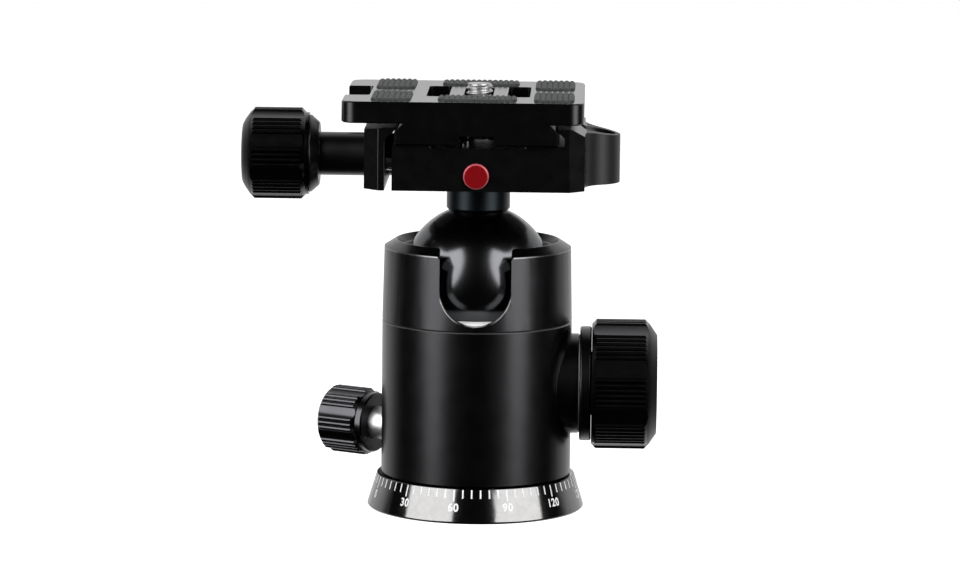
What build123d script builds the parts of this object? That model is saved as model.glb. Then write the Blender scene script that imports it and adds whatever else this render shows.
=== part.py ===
from build123d import *
import os
from math import asin, cos, degrees, pi, radians, sin, sqrt, tan

# Tripod ball head, millimetres, +Z up. The origin is the centre of the base's underside, on the
# panning axis. The drop slot faces -Y, the main lock knob +X and the clamp knob -X. The dovetail
# of the quick-release clamp runs along Y.

# ---- clearances -----------------------------------------------------------------------------
running_gap = 0.05  # radial, shaft in its bore
seat_gap = 0.05  # between faces that are screwed or stacked together
ball_gap = 0.15  # radial, ball to its seats
slide_gap = 0.1  # between faces that slide on each other
pan_gap = 0.25  # visible line between base ring and housing
knob_gap = 0.3  # lock knob's flange to the housing's boss, locked
edge = 0.35  # small edge chamfer on turned parts
fine_edge = 0.15  # broken edge beside a seam

# ---- ball and seats -------------------------------------------------------------------------
ball_radius = 17.85
ball_sink = 1.25  # how far the ball reaches down past the lower seat
seat_wall = 1.8  # thinnest wall of the upper seat
lower_seat_height = 6.65
lower_seat_inset = 0.95  # lower seat's rim inside the ball's equator
lower_seat_bore = 9.5
seat_spacing = 0.75  # between the two seats
seat_slot_margin = 0.8  # upper seat's notch past the drop slot, each side
seat_slot_floor = 0.5  # upper seat's notch over the bottom of the drop slot
neck_radius = 7.5
neck_root_radius = 6.9
neck_rise = 5.8  # neck's top over the top of the ball's sphere
neck_flare = 0.75  # height of the cone between root and neck
clamp_bolt_radius = 3.0
clamp_bolt_length = 17.0
clamp_bolt_head_radius = 5.0
clamp_bolt_head_height = 4.6
clamp_bolt_socket = 2.8
clamp_bolt_sink = 0.6  # head below the clamp's floor

# ---- collar ---------------------------------------------------------------------------------
skirt_wall = 1.35  # threaded skirt of the collar
skirt_length = 4.3
housing_wall = 1.3  # housing round the skirt
collar_taper = 0.4
collar_bevel = 2.65
collar_lip_above = 4.6  # underside of the lip over the ball's centre
collar_shoulder_above = 7.9  # start of the rim's bevel over the ball's centre
collar_bevel_height = 1.65
collar_lip_gap = 0.35
dish_depth = 3.4
slot_half_width = 8.35
slot_corner = 0.6

# ---- base -----------------------------------------------------------------------------------
base_height = 7.95
base_land = 0.6  # upright band at the foot of the cone
base_flare = 2.2
base_step = 1.0  # base's top edge past the housing
base_floor = 3.4
base_relief = 0.4  # recess under the middle of the base
base_relief_radius = 13.5
spindle_radius = 11.0
spindle_flange_width = 3.0
spindle_flange_height = 6.2
spindle_head_room = 0.5
tripod_thread_radius = 4.7625  # 3/8 in camera thread
bushing_wall = 1.2375
bushing_length = 11.4
bushing_chamfer = 0.6
spindle_screw_circle = 8.9
spindle_screw_radius = 1.2
spindle_screw_head = 2.4
spindle_screw_length = 8.0
spindle_screw_socket = 1.3
spindle_screw_count = 3
washer_inner = 12.0
washer_inset = 0.4
washer_thickness = 0.8
ring_nut_width = 2.0  # ring nut past the spindle's flange
ring_nut_height = 4.9
ring_nut_slot = (2.0, 2.4, 1.4)  # spanner slots: length, width, depth
ring_nut_slot_count = 4

# ---- pan lock -------------------------------------------------------------------------------
pan_lock_angle = 150.0  # direction of the pan lock, counter-clockwise from +X
pan_lock_above = 2.9  # pan lock's axis over the underside of the spindle's flange
pan_groove_depth = 1.7
pan_shaft_radius = 4.0
pan_bush_wall = 1.45
pan_shoe_radius = 3.0
pan_shoe_length = 3.2
pan_nose_radius = 1.7
pan_knob_reach = 5.6  # housing to the knob's inner end
pan_knob_length = 13.2
pan_knob_radius = 8.1
pan_knob_ring_radius = 7.2  # plain ring at the knob's inner end
pan_knob_ring_length = 1.7
pan_shaft_seat = 8.8  # length of the shaft inside its knob
pan_knob_web = 1.2  # knob's wall between shaft and screw head
pan_screw_radius = 1.5
pan_screw_depth = 4.6
pan_screw_head = 2.6
pan_screw_head_height = 1.9
pan_screw_socket = 1.3

# ---- main lock ------------------------------------------------------------------------------
lock_floor = 4.15  # housing between the spindle's room and the wedge's bore
lock_web = 0.85  # housing between the wedge's bore and the seats
lock_boss_radius = 11.85
lock_boss_length = 1.7  # boss past the housing
lock_bush_radius = 7.0
lock_bush_inset = 0.4  # bush's inner end outside the seats' bore
wedge_radius = 4.6
wedge_length = 19.0
wedge_end = 9.6  # outer end of the wedge
wedge_runout = 2.6  # bore past the wedge's inner end
wedge_angle = 12.0
wedge_ramp_above = 1.8  # ramp over the wedge's axis, at the panning axis
wedge_ramp_margin = 1.1  # ramp past the lifter's stem
lifter_travel = 0.4
lifter_thickness = 2.15
lifter_inset = 0.4  # lifter's rim inside the lower seat's
lifter_dish_gap = 0.4  # between the ball and the dish under it
lock_thread_radius = 4.0
lock_flange_radius = 13.6
lock_flange_thickness = 2.8
lock_sleeve_radius = 7.5
lock_knob_radius = 15.4
lock_knob_length = 15.5
lock_knob_web = 1.4  # knob's wall between hub and dial
lock_knob_web_bore = 5.0
dial_radius = 9.0
dial_thickness = 2.6
dial_boss_radius = 3.0
dial_boss_length = 1.0
dial_slot = (13.5, 2.2, 1.2)  # coin slot: length, width, depth
dial_sink = 0.1

# ---- quick-release clamp --------------------------------------------------------------------
dovetail_half_width = 19.0  # common 38 mm dovetail
clamp_height = 10.65  # underside to floor
clamp_half_depth = 24.0
clamp_left_margin = 0.55  # clamp's left face past the dovetail
clamp_right_margin = 6.1
clamp_corner = 3.5
strip_left = -10.6  # relieved strip along the middle of the floor
strip_right = 11.2
strip_depth = 0.6
jaw_lip = 4.1  # jaws over the floor
jaw_lip_land = 0.6
jaw_groove_depth = 1.6
jaw_top_flat = 2.9  # flat top of the fixed jaw past the dovetail
jaw_top_drop = 2.05
lobe_drop = 1.5
lobe_radius = 8.25
lobe_fillet = 8.1
vial_offset = 2.7  # level's centre past the clamp's right face
vial_radius = 4.4
vial_depth = 4.0
vial_sink = 0.15
vial_wall = 0.8
vial_cap = 1.0
bubble_radius = 1.3
bubble_height = 1.2
knob_axis_above = 5.75  # clamp screw's axis over the clamp's underside
jaw_spacing = 1.7  # between clamp and moving jaw
jaw_thickness = 4.9
jaw_corner = 3.4
jaw_flat_top = 2.0
jaw_outer_drop = 0.85
jaw_web = 2.1
screw_boss_radius = 5.0
screw_boss_length = 3.1
clamp_thread_radius = 3.5
clamp_screw_depth = 11.25
clamp_screw_runout = 0.8
clamp_stem_radius = 5.1
clamp_stem_length = 11.45
clip_width = 1.2
clip_groove = 0.6
clip_thickness = 0.6
clip_opening = 2.4
clamp_knob_radius = 10.8
clamp_knob_length = 15.65
clamp_knob_step = 0.65
clamp_flange_radius = 9.1
clamp_flange_cone = 1.9
clamp_flange_bevel = 1.7
clamp_flange_land = 0.5
clamp_stem_seat = 9.0  # length of the stem inside its knob
guide_pin_radius = 2.0
guide_pin_offset = 15.0
guide_pin_depth = 10.25
guide_pin_end_wall = 0.9  # jaw wall left outside the pins' blind holes

# ---- plate release --------------------------------------------------------------------------
button_radius = 2.97
button_above = 3.6  # button's axis over the clamp's underside
button_proud = 1.2
button_head = 2.0
button_tail = 3.8  # button past the stop pin's axis
button_flat = -0.9
button_chamfer = 0.4
spring_radius = 1.7
spring_wire = 0.28
spring_coils = 4
spring_length = 5.0
stop_inset = 3.8  # stop pins' axes inside the clamp's ends
stop_x = -2.6
stop_radius = 1.25
stop_proud = 1.0
stop_lift = 1.5
stop_tail = 0.6  # stop pin below the button's axis
stop_chamfer = 0.2
dowel_depth = 5.0
follower_radius = 0.45
follower_above = 0.9
follower_reach = 0.6

# ---- quick-release plate --------------------------------------------------------------------
dovetail_height = 3.15  # upright part of the dovetail
dovetail_slope = 2.0  # height of its 45 degree flank
plate_thickness = 5.05
plate_left_margin = 12.3  # plate past the dovetail
plate_right_margin = 5.8
plate_half_length = 26.0
plate_corner = 3.5
plate_edge = 0.3
dovetail_edge = 0.45
side_notch_depth = 5.9
side_notch_half_length = 10.6
plate_slot_half_length = 12.0
plate_slot_inner = 6.8
plate_slot_outer = 12.1
plate_slot_corner = 1.0
camera_screw_radius = 3.175  # 1/4 in camera thread
camera_screw_head = 5.0
camera_screw_head_height = 2.3
camera_screw_lift = 0.3  # head over the clamp's floor
camera_screw_proud = 2.05
camera_screw_neck = 0.5  # depth of the undercut that keeps the screw in the plate
camera_screw_neck_below = 0.6
camera_screw_neck_above = 0.3
camera_screw_slot = 1.2
camera_slot_play = 0.275
camera_slot_half_length = 10.9
head_slot_play = 0.2
head_slot_wall = 4.75  # plate left over the head's slot
captive_washer_width = 0.6  # washer past the screw's head
captive_washer_thickness = 0.7
stop_groove_half_width = 4.0
stop_groove_depth = 2.4
plate_travel = 3.35  # free travel of the plate each way, stop to screw
safety_screw_radius = 1.2
safety_screw_lift = 0.4
safety_screw_thread = 0.9
safety_screw_length = 3.4
safety_screw_end_gap = 0.3
safety_screw_socket = (0.65, 1.0)  # radius, depth
pad_proud = 0.6
pad_depth = 1.0
pad_corner = 2.5
pad_rib_pitch = 1.34
pad_rib_height = 0.35
side_pad_size = (9.4, 19.0)
side_pad_y = 14.0
side_pad_left_inset = 11.3
side_pad_right_inset = 7.0
middle_pad_size = (18.4, 9.9)
middle_pad_y = 18.2

# ---- fluted grips ---------------------------------------------------------------------------
grip_groups = 8
rib_pitch = 1.28
rib_depth = 0.45
land_depth = 0.5
grip_chamfer = 1.1

# ---- places that follow from the sizes above, from the base upwards ---------------------------
bushing_radius = tripod_thread_radius + bushing_wall
spindle_flange_radius = spindle_radius + spindle_flange_width
washer_bottom = base_height + seat_gap
ring_nut_bottom = washer_bottom + washer_thickness + seat_gap
ring_nut_top = ring_nut_bottom + ring_nut_height
ring_nut_radius = spindle_flange_radius + ring_nut_width
washer_outer = ring_nut_radius - washer_inset
spindle_flange_low = ring_nut_top + 3.5 * slide_gap
spindle_flange_high = spindle_flange_low + spindle_flange_height
pan_lock_height = spindle_flange_low + pan_lock_above
flange_room = spindle_flange_high + spindle_head_room
lock_height = flange_room + lock_floor + wedge_radius + running_gap
wedge_contact = lock_height + wedge_ramp_above
lifter_stem_radius = wedge_radius - slide_gap
seat_bore_bottom = lock_height + wedge_radius + running_gap + lock_web
lifter_bottom = seat_bore_bottom + lifter_travel
lower_seat_bottom = lifter_bottom + lifter_thickness + seat_gap
lower_seat_top = lower_seat_bottom + lower_seat_height
upper_seat_bottom = lower_seat_top + seat_spacing
housing_top = upper_seat_bottom - edge
ball_height = lower_seat_bottom + ball_radius - ball_sink
collar_lip = ball_height + collar_lip_above
collar_shoulder = ball_height + collar_shoulder_above
collar_rim = collar_shoulder + collar_bevel_height
neck_meets = ball_height + sqrt(ball_radius**2 - neck_root_radius**2)
neck_top = ball_height + ball_radius + neck_rise
neck_step = neck_meets + neck_flare
clamp_bottom = neck_top + seat_gap
clamp_floor = clamp_bottom + clamp_height
knob_axis_height = clamp_bottom + knob_axis_above
button_height = clamp_bottom + button_above
jaw_lip_height = clamp_floor + jaw_lip
jaw_outer_height = jaw_lip_height - jaw_top_drop
lobe_outer_height = jaw_outer_height - lobe_drop
vial_top = lobe_outer_height - vial_sink
dovetail_shoulder = clamp_floor + dovetail_height
plate_bottom = dovetail_shoulder + dovetail_slope
plate_top = plate_bottom + plate_thickness
camera_screw_top = plate_top + camera_screw_proud

# outwards from the panning axis
lower_seat_radius = ball_radius - lower_seat_inset
lifter_radius = lower_seat_radius - lifter_inset
seat_bore_radius = lower_seat_radius + slide_gap
collar_bore_radius = ball_radius + ball_gap + seat_wall
collar_thread_radius = collar_bore_radius + running_gap + skirt_wall
housing_radius = collar_thread_radius + housing_wall
collar_top_radius = housing_radius - collar_taper
collar_rim_radius = collar_top_radius - collar_bevel
base_top_radius = housing_radius + base_step
base_radius = base_top_radius + base_flare
lock_boss_end = housing_radius + lock_boss_length
lock_flange_near = lock_boss_end + knob_gap
lock_flange_far = lock_flange_near + lock_flange_thickness
lock_knob_far = lock_flange_far + lock_knob_length
pan_knob_near = housing_radius + pan_knob_reach
pan_knob_far = pan_knob_near + pan_knob_length

# along the clamp
clamp_left = -dovetail_half_width - clamp_left_margin
clamp_right = dovetail_half_width + clamp_right_margin
jaw_near = clamp_left - jaw_spacing
jaw_far = jaw_near - jaw_thickness
clamp_knob_near = jaw_far - clamp_flange_cone - clamp_stem_length
vial_x = clamp_right + vial_offset
stop_y = clamp_half_depth - stop_inset
safety_screw_y = stop_y - stop_radius - safety_screw_radius - plate_travel
button_back = button_tail - stop_y
plate_left = -dovetail_half_width - plate_left_margin
plate_right = dovetail_half_width + plate_right_margin
side_notch_edge = plate_left + side_notch_depth
side_pad_xs = (plate_left + side_pad_left_inset, plate_right - side_pad_right_inset)
camera_slot_half_width = camera_screw_radius + camera_slot_play
head_slot_half_width = camera_screw_head + head_slot_play
head_slot_roof = plate_top - head_slot_wall
captive_washer_radius = camera_screw_head + captive_washer_width

os.makedirs("parts", exist_ok=True)


def sphere_radius_at(radius, height):
    """Radius of the horizontal circle that a ball-centred sphere has at a height."""
    return sqrt(radius**2 - (height - ball_height) ** 2)


def fluted_section(radius, ribs):
    """Cross-section of a grip: groups of round ribs with a shallow concave land between them."""
    root = radius - rib_depth
    rib_angle = degrees(rib_pitch / radius)
    land_angle = 360 / grip_groups - ribs * rib_angle

    def polar(r, angle):
        return (r * cos(radians(angle)), r * sin(radians(angle)))

    with BuildSketch() as section:
        with BuildLine():
            angle = -ribs * rib_angle / 2
            for _ in range(grip_groups):
                for _ in range(ribs):
                    start, middle, end = (angle + share * rib_angle for share in (0, 0.5, 1))
                    ThreePointArc(polar(root, start), polar(radius, middle), polar(root, end))
                    angle = end
                dip = polar(radius - land_depth - rib_depth / 2, angle + land_angle / 2)
                ThreePointArc(polar(root, angle), dip, polar(root, angle + land_angle))
                angle += land_angle
        make_face()
    return section.sketch


def bolt_shape(head_radius, head_height, shank_radius, length, socket_radius):
    """Cap screw standing on its thread end at the origin, head up, with a hexagon socket."""
    with BuildPart() as bolt:
        Cylinder(shank_radius, length, align=(Align.CENTER, Align.CENTER, Align.MIN))
        with Locations((0, 0, length)):
            Cylinder(head_radius, head_height, align=(Align.CENTER, Align.CENTER, Align.MIN))
        chamfer(bolt.edges().sort_by(Axis.Z)[-1], 0.12 * head_radius)
        with BuildSketch(Plane.XY.offset(length + head_height)):
            RegularPolygon(socket_radius, 6)
        extrude(amount=-0.6 * head_height, mode=Mode.SUBTRACT)
    return bolt.part


# ---- base -----------------------------------------------------------------------------------
bushing_hole = bushing_radius + running_gap
spindle_bottom = base_floor + seat_gap
bushing_top = base_relief + bushing_length
screw_low = base_relief + seat_gap
screw_hole_depth = screw_low + spindle_screw_length + edge - spindle_bottom

with BuildPart() as base_ring:
    with BuildSketch(Plane.XZ):
        Polygon(
            (bushing_hole, base_relief),
            (base_relief_radius, base_relief),
            (base_relief_radius + base_relief, 0),
            (base_radius - edge, 0),
            (base_radius, edge),
            (base_radius, base_land),
            (base_top_radius, base_height - fine_edge),
            (base_top_radius - fine_edge, base_height),
            (spindle_radius + slide_gap, base_height),
            (spindle_radius + slide_gap, base_floor),
            (bushing_hole, base_floor),
            align=None,
        )
    revolve(axis=Axis.Z)
    with Locations(Plane(origin=(0, 0, base_relief), x_dir=(1, 0, 0), z_dir=(0, 0, -1))):
        with PolarLocations(spindle_screw_circle, spindle_screw_count):
            CounterSinkHole(spindle_screw_radius + slide_gap, spindle_screw_head + slide_gap)
base_ring.part.label = "base_ring"
export_step(base_ring.part, "parts/base_ring.step")

with BuildPart() as pan_spindle:
    groove_low = pan_lock_height - pan_groove_depth
    groove_high = pan_lock_height + pan_groove_depth
    with BuildSketch(Plane.XZ):
        Polygon(
            (bushing_hole, spindle_bottom),
            (spindle_radius, spindle_bottom),
            (spindle_radius, spindle_flange_low),
            (spindle_flange_radius, spindle_flange_low),
            (spindle_flange_radius, groove_low),
            (spindle_flange_radius - pan_groove_depth, pan_lock_height),
            (spindle_flange_radius, groove_high),
            (spindle_flange_radius, spindle_flange_high),
            (0, spindle_flange_high),
            (0, bushing_top + seat_gap),
            (bushing_hole, bushing_top + seat_gap),
            align=None,
        )
    revolve(axis=Axis.Z)
    with Locations(Plane(origin=(0, 0, spindle_bottom), x_dir=(1, 0, 0), z_dir=(0, 0, -1))):
        with PolarLocations(spindle_screw_circle, spindle_screw_count):
            Hole(spindle_screw_radius + running_gap, depth=screw_hole_depth)
pan_spindle.part.label = "pan_spindle"
export_step(pan_spindle.part, "parts/pan_spindle.step")

with BuildPart() as spindle_screws:
    cone = spindle_screw_head - spindle_screw_radius
    with PolarLocations(spindle_screw_circle, spindle_screw_count):
        with Locations((0, 0, screw_low)):
            Cone(
                spindle_screw_head - seat_gap,
                spindle_screw_radius,
                cone,
                align=(Align.CENTER, Align.CENTER, Align.MIN),
            )
        with Locations((0, 0, screw_low + cone)):
            Cylinder(
                spindle_screw_radius,
                spindle_screw_length - cone,
                align=(Align.CENTER, Align.CENTER, Align.MIN),
            )
    with BuildSketch(Plane.XY.offset(screw_low)):
        with PolarLocations(spindle_screw_circle, spindle_screw_count):
            RegularPolygon(spindle_screw_socket, 6)
    extrude(amount=0.8 * cone, mode=Mode.SUBTRACT)
spindle_screws.part.label = "spindle_screws"
export_step(spindle_screws.part, "parts/spindle_screws.step")

with BuildPart() as tripod_bushing:
    with BuildSketch(Plane.XZ):
        Polygon(
            (tripod_thread_radius + bushing_chamfer, base_relief),
            (bushing_radius, base_relief),
            (bushing_radius, bushing_top),
            (tripod_thread_radius, bushing_top),
            (tripod_thread_radius, base_relief + bushing_chamfer),
            align=None,
        )
    revolve(axis=Axis.Z)
tripod_bushing.part.label = "tripod_bushing"
export_step(tripod_bushing.part, "parts/tripod_bushing.step")

with BuildPart() as pan_thrust_washer:
    with BuildSketch(Plane.XY.offset(washer_bottom)):
        Circle(washer_outer)
        Circle(washer_inner, mode=Mode.SUBTRACT)
    extrude(amount=washer_thickness)
pan_thrust_washer.part.label = "pan_thrust_washer"
export_step(pan_thrust_washer.part, "parts/pan_thrust_washer.step")

# ---- housing --------------------------------------------------------------------------------
housing_bottom = base_height + pan_gap
collar_thread_bottom = housing_top - skirt_length
pan_direction = (cos(radians(pan_lock_angle)), sin(radians(pan_lock_angle)), 0)
pan_sideways = (sin(radians(pan_lock_angle)), -cos(radians(pan_lock_angle)), 0)
pan_plane = Plane(origin=(0, 0, pan_lock_height), x_dir=pan_direction, z_dir=pan_sideways)
pan_axis = Axis((0, 0, pan_lock_height), pan_direction)
pan_bush_radius = pan_shaft_radius + running_gap + pan_bush_wall
pan_bush_hole = pan_bush_radius + running_gap
pan_bush_out = sqrt(housing_radius**2 - pan_bush_hole**2) - seat_gap
shoe_face = spindle_flange_radius + slide_gap
shoe_back = shoe_face + pan_shoe_length
pan_bush_in = shoe_back - slide_gap
lock_axis = Axis((0, 0, lock_height), (1, 0, 0))
lock_plane = Plane(origin=(0, 0, lock_height), x_dir=(1, 0, 0), z_dir=(0, -1, 0))
lock_bush_outer_end = lock_boss_end - seat_gap
lock_bush_inner_end = seat_bore_radius + lock_bush_inset
lock_bore_depth = wedge_length - wedge_end + wedge_runout

with BuildPart() as lower_housing:
    with BuildSketch(Plane.XZ):
        Polygon(
            (0, housing_bottom),
            (housing_radius - fine_edge, housing_bottom),
            (housing_radius, housing_bottom + fine_edge),
            (housing_radius, housing_top - edge),
            (housing_radius - edge, housing_top),
            (0, housing_top),
            align=None,
        )
    revolve(axis=Axis.Z)
    with BuildSketch(Plane.YZ):
        with Locations((0, lock_height)):
            Circle(lock_boss_radius)
    extrude(amount=lock_boss_end)
    with BuildSketch(Plane.XZ):
        Polygon(
            (0, flange_room),
            (spindle_flange_radius + slide_gap, flange_room),
            (spindle_flange_radius + slide_gap, ring_nut_top + seat_gap),
            (ring_nut_radius + running_gap, ring_nut_top + seat_gap),
            (ring_nut_radius + running_gap, housing_bottom),
            (0, housing_bottom),
            align=None,
        )
        Polygon(
            (0, seat_bore_bottom),
            (seat_bore_radius, seat_bore_bottom),
            (seat_bore_radius, collar_thread_bottom),
            (collar_thread_radius + running_gap, collar_thread_bottom),
            (collar_thread_radius + running_gap, housing_top),
            (0, housing_top),
            align=None,
        )
        with Locations((0, lock_height)):
            Rectangle(
                lifter_stem_radius + slide_gap,
                seat_bore_bottom - lock_height,
                align=(Align.MIN, Align.MIN),
            )
    revolve(axis=Axis.Z, mode=Mode.SUBTRACT)
    with BuildSketch(lock_plane):
        Polygon(
            (-lock_bore_depth, 0),
            (-lock_bore_depth, wedge_radius + running_gap),
            (lock_bush_inner_end - seat_gap, wedge_radius + running_gap),
            (lock_bush_inner_end - seat_gap, lock_bush_radius + running_gap),
            (lock_boss_end, lock_bush_radius + running_gap),
            (lock_boss_end, 0),
            align=None,
        )
    revolve(axis=lock_axis, mode=Mode.SUBTRACT)
    with BuildSketch(pan_plane):
        Polygon(
            (spindle_flange_radius, 0),
            (spindle_flange_radius, pan_shoe_radius + running_gap),
            (pan_bush_in - seat_gap, pan_shoe_radius + running_gap),
            (pan_bush_in - seat_gap, pan_bush_hole),
            (housing_radius + edge, pan_bush_hole),
            (housing_radius + edge, 0),
            align=None,
        )
    revolve(axis=pan_axis, mode=Mode.SUBTRACT)
lower_housing.part.label = "lower_housing"
export_step(lower_housing.part, "parts/lower_housing.step")

lip_radius = sphere_radius_at(ball_radius, collar_lip) + collar_lip_gap
dish_floor = collar_rim - dish_depth
with BuildPart() as drop_slot:
    with BuildSketch(Plane.XZ):
        with Locations((0, ball_height)):
            Circle(slot_half_width)
            Rectangle(2 * slot_half_width, housing_radius, align=(Align.CENTER, Align.MIN))
    extrude(amount=2 * housing_radius)

with BuildPart() as ball_collar:
    with BuildSketch(Plane.XZ):
        Polygon(
            (collar_bore_radius + running_gap, collar_thread_bottom + seat_gap),
            (collar_thread_radius, collar_thread_bottom + seat_gap),
            (collar_thread_radius, housing_top + seat_gap),
            (housing_radius - fine_edge, housing_top + seat_gap),
            (housing_radius, housing_top + seat_gap + fine_edge),
            (collar_top_radius, collar_shoulder),
            (collar_rim_radius, collar_rim),
            (collar_rim_radius - edge, collar_rim),
            (lip_radius, dish_floor),
            (lip_radius, collar_lip),
            (collar_bore_radius + running_gap, collar_lip),
            align=None,
        )
    revolve(axis=Axis.Z)
    add(drop_slot.part, mode=Mode.SUBTRACT)
    rim_corners = ball_collar.edges().filter_by(
        lambda e: abs(abs(e.center().X) - slot_half_width) < 0.01
        and e.bounding_box().min.Z > collar_shoulder - 0.01
        and e.bounding_box().size.Y > 2 * edge
        and e.bounding_box().max.Y < 0
    )
    chamfer(rim_corners, slot_corner)
ball_collar.part.label = "ball_collar"
export_step(ball_collar.part, "parts/ball_collar.step")

with BuildPart() as upper_ball_seat:
    seat_sphere = ball_radius + ball_gap
    seat_high = collar_lip - seat_gap
    low_radius = sphere_radius_at(seat_sphere, upper_seat_bottom)
    high_radius = sphere_radius_at(seat_sphere, seat_high)
    with BuildSketch(Plane.XZ):
        with BuildLine():
            ThreePointArc(
                (low_radius, upper_seat_bottom), (seat_sphere, ball_height), (high_radius, seat_high)
            )
            Polyline(
                (high_radius, seat_high),
                (collar_bore_radius, seat_high),
                (collar_bore_radius, upper_seat_bottom),
                (low_radius, upper_seat_bottom),
            )
        make_face()
    revolve(axis=Axis.Z)
    with BuildSketch(Plane.XZ):
        with Locations((0, ball_height - slot_half_width + seat_slot_floor)):
            Rectangle(
                2 * (slot_half_width + seat_slot_margin),
                housing_radius,
                align=(Align.CENTER, Align.MIN),
            )
    extrude(amount=housing_radius, mode=Mode.SUBTRACT)
upper_ball_seat.part.label = "upper_ball_seat"
export_step(upper_ball_seat.part, "parts/upper_ball_seat.step")

with BuildPart() as spindle_ring_nut:
    with BuildSketch(Plane.XY.offset(ring_nut_bottom)):
        Circle(ring_nut_radius)
        Circle(spindle_radius + slide_gap, mode=Mode.SUBTRACT)
    extrude(amount=ring_nut_height)
    with BuildSketch(Plane.XY.offset(ring_nut_bottom)):
        with PolarLocations(ring_nut_radius, ring_nut_slot_count):
            Rectangle(*ring_nut_slot[:2])
    extrude(amount=ring_nut_slot[2], mode=Mode.SUBTRACT)
spindle_ring_nut.part.label = "spindle_ring_nut"
export_step(spindle_ring_nut.part, "parts/spindle_ring_nut.step")

with BuildPart() as lock_bushing:
    with BuildSketch(lock_plane):
        with Locations((lock_bush_inner_end, lock_thread_radius + running_gap)):
            Rectangle(
                lock_bush_outer_end - lock_bush_inner_end,
                lock_bush_radius - lock_thread_radius - running_gap,
                align=(Align.MIN, Align.MIN),
            )
    revolve(axis=lock_axis)
lock_bushing.part.label = "lock_bushing"
export_step(lock_bushing.part, "parts/lock_bushing.step")

with BuildPart() as pan_bushing:
    with BuildSketch(pan_plane):
        with Locations((pan_bush_in, pan_shaft_radius + running_gap)):
            Rectangle(pan_bush_out - pan_bush_in, pan_bush_wall, align=(Align.MIN, Align.MIN))
    revolve(axis=pan_axis)
pan_bushing.part.label = "pan_bushing"
export_step(pan_bushing.part, "parts/pan_bushing.step")

# ---- pan lock -------------------------------------------------------------------------------
nose_tip = spindle_flange_radius - pan_groove_depth + 2 * slide_gap
nose_base = min(pan_nose_radius, shoe_face - nose_tip)
with BuildPart() as pan_brake_shoe:
    with BuildSketch(pan_plane):
        Polygon(
            (nose_tip, 0),
            (nose_tip + nose_base, nose_base),
            (shoe_face, nose_base),
            (shoe_face, pan_shoe_radius),
            (shoe_back, pan_shoe_radius),
            (shoe_back, 0),
            align=None,
        )
    revolve(axis=pan_axis)
pan_brake_shoe.part.label = "pan_brake_shoe"
export_step(pan_brake_shoe.part, "parts/pan_brake_shoe.step")

pan_shaft_end = pan_knob_near + pan_shaft_seat
pan_web_start = pan_shaft_end + seat_gap
pan_web_end = pan_web_start + pan_knob_web
pan_knob_ring_end = pan_knob_near + pan_knob_ring_length
with BuildPart() as pan_lock_shaft:
    shaft_start = shoe_back + seat_gap
    with BuildSketch(pan_plane):
        with Locations((shaft_start, 0)):
            Rectangle(pan_shaft_end - shaft_start, pan_shaft_radius, align=(Align.MIN, Align.MIN))
    revolve(axis=pan_axis)
    with BuildSketch(pan_plane):
        with Locations((pan_shaft_end - pan_screw_depth - edge, 0)):
            Rectangle(
                pan_screw_depth + 2 * edge, pan_screw_radius + running_gap, align=(Align.MIN, Align.MIN)
            )
    revolve(axis=pan_axis, mode=Mode.SUBTRACT)
pan_lock_shaft.part.label = "pan_lock_shaft"
export_step(pan_lock_shaft.part, "parts/pan_lock_shaft.step")

pan_end_plane = Plane(
    origin=pan_plane.from_local_coords((pan_knob_near, 0, 0)), x_dir=(0, 0, 1), z_dir=pan_direction
)
with BuildPart() as pan_knob:
    with BuildSketch(pan_end_plane):
        add(fluted_section(pan_knob_radius, 3))
    extrude(amount=pan_knob_far - pan_knob_near)
    with BuildSketch(pan_plane):
        Polygon(
            (pan_knob_near, pan_shaft_radius + running_gap),
            (pan_knob_near, pan_knob_ring_radius - edge),
            (pan_knob_near + edge, pan_knob_ring_radius),
            (pan_knob_ring_end, pan_knob_ring_radius),
            (pan_knob_ring_end + pan_knob_radius - pan_knob_ring_radius, pan_knob_radius),
            (pan_knob_far - 1.5 * grip_chamfer, pan_knob_radius),
            (pan_knob_far - 0.8 * grip_chamfer, pan_knob_radius - 0.7 * grip_chamfer),
            (pan_knob_far, pan_knob_radius - 2 * grip_chamfer),
            (pan_knob_far, pan_screw_head + slide_gap),
            (pan_web_end, pan_screw_head + slide_gap),
            (pan_web_end, pan_screw_radius + slide_gap),
            (pan_web_start, pan_screw_radius + slide_gap),
            (pan_web_start, pan_shaft_radius + running_gap),
            align=None,
        )
    revolve(axis=pan_axis, mode=Mode.INTERSECT)
pan_knob.part.label = "pan_knob"
export_step(pan_knob.part, "parts/pan_knob.step")

pan_screw_plane = Plane(
    origin=pan_plane.from_local_coords((pan_shaft_end - pan_screw_depth, 0, 0)),
    x_dir=(0, 0, 1),
    z_dir=pan_direction,
)
with BuildPart(pan_screw_plane) as pan_knob_screw:
    add(
        bolt_shape(
            pan_screw_head,
            pan_screw_head_height,
            pan_screw_radius,
            pan_web_end + seat_gap - pan_shaft_end + pan_screw_depth,
            pan_screw_socket,
        )
    )
pan_knob_screw.part.label = "pan_knob_screw"
export_step(pan_knob_screw.part, "parts/pan_knob_screw.step")

# ---- main lock ------------------------------------------------------------------------------
ramp_rise = tan(radians(wedge_angle))


def ramp_height(x):
    """Height of the wedge's ramp above an x position."""
    return wedge_contact + ramp_rise * x


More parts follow.
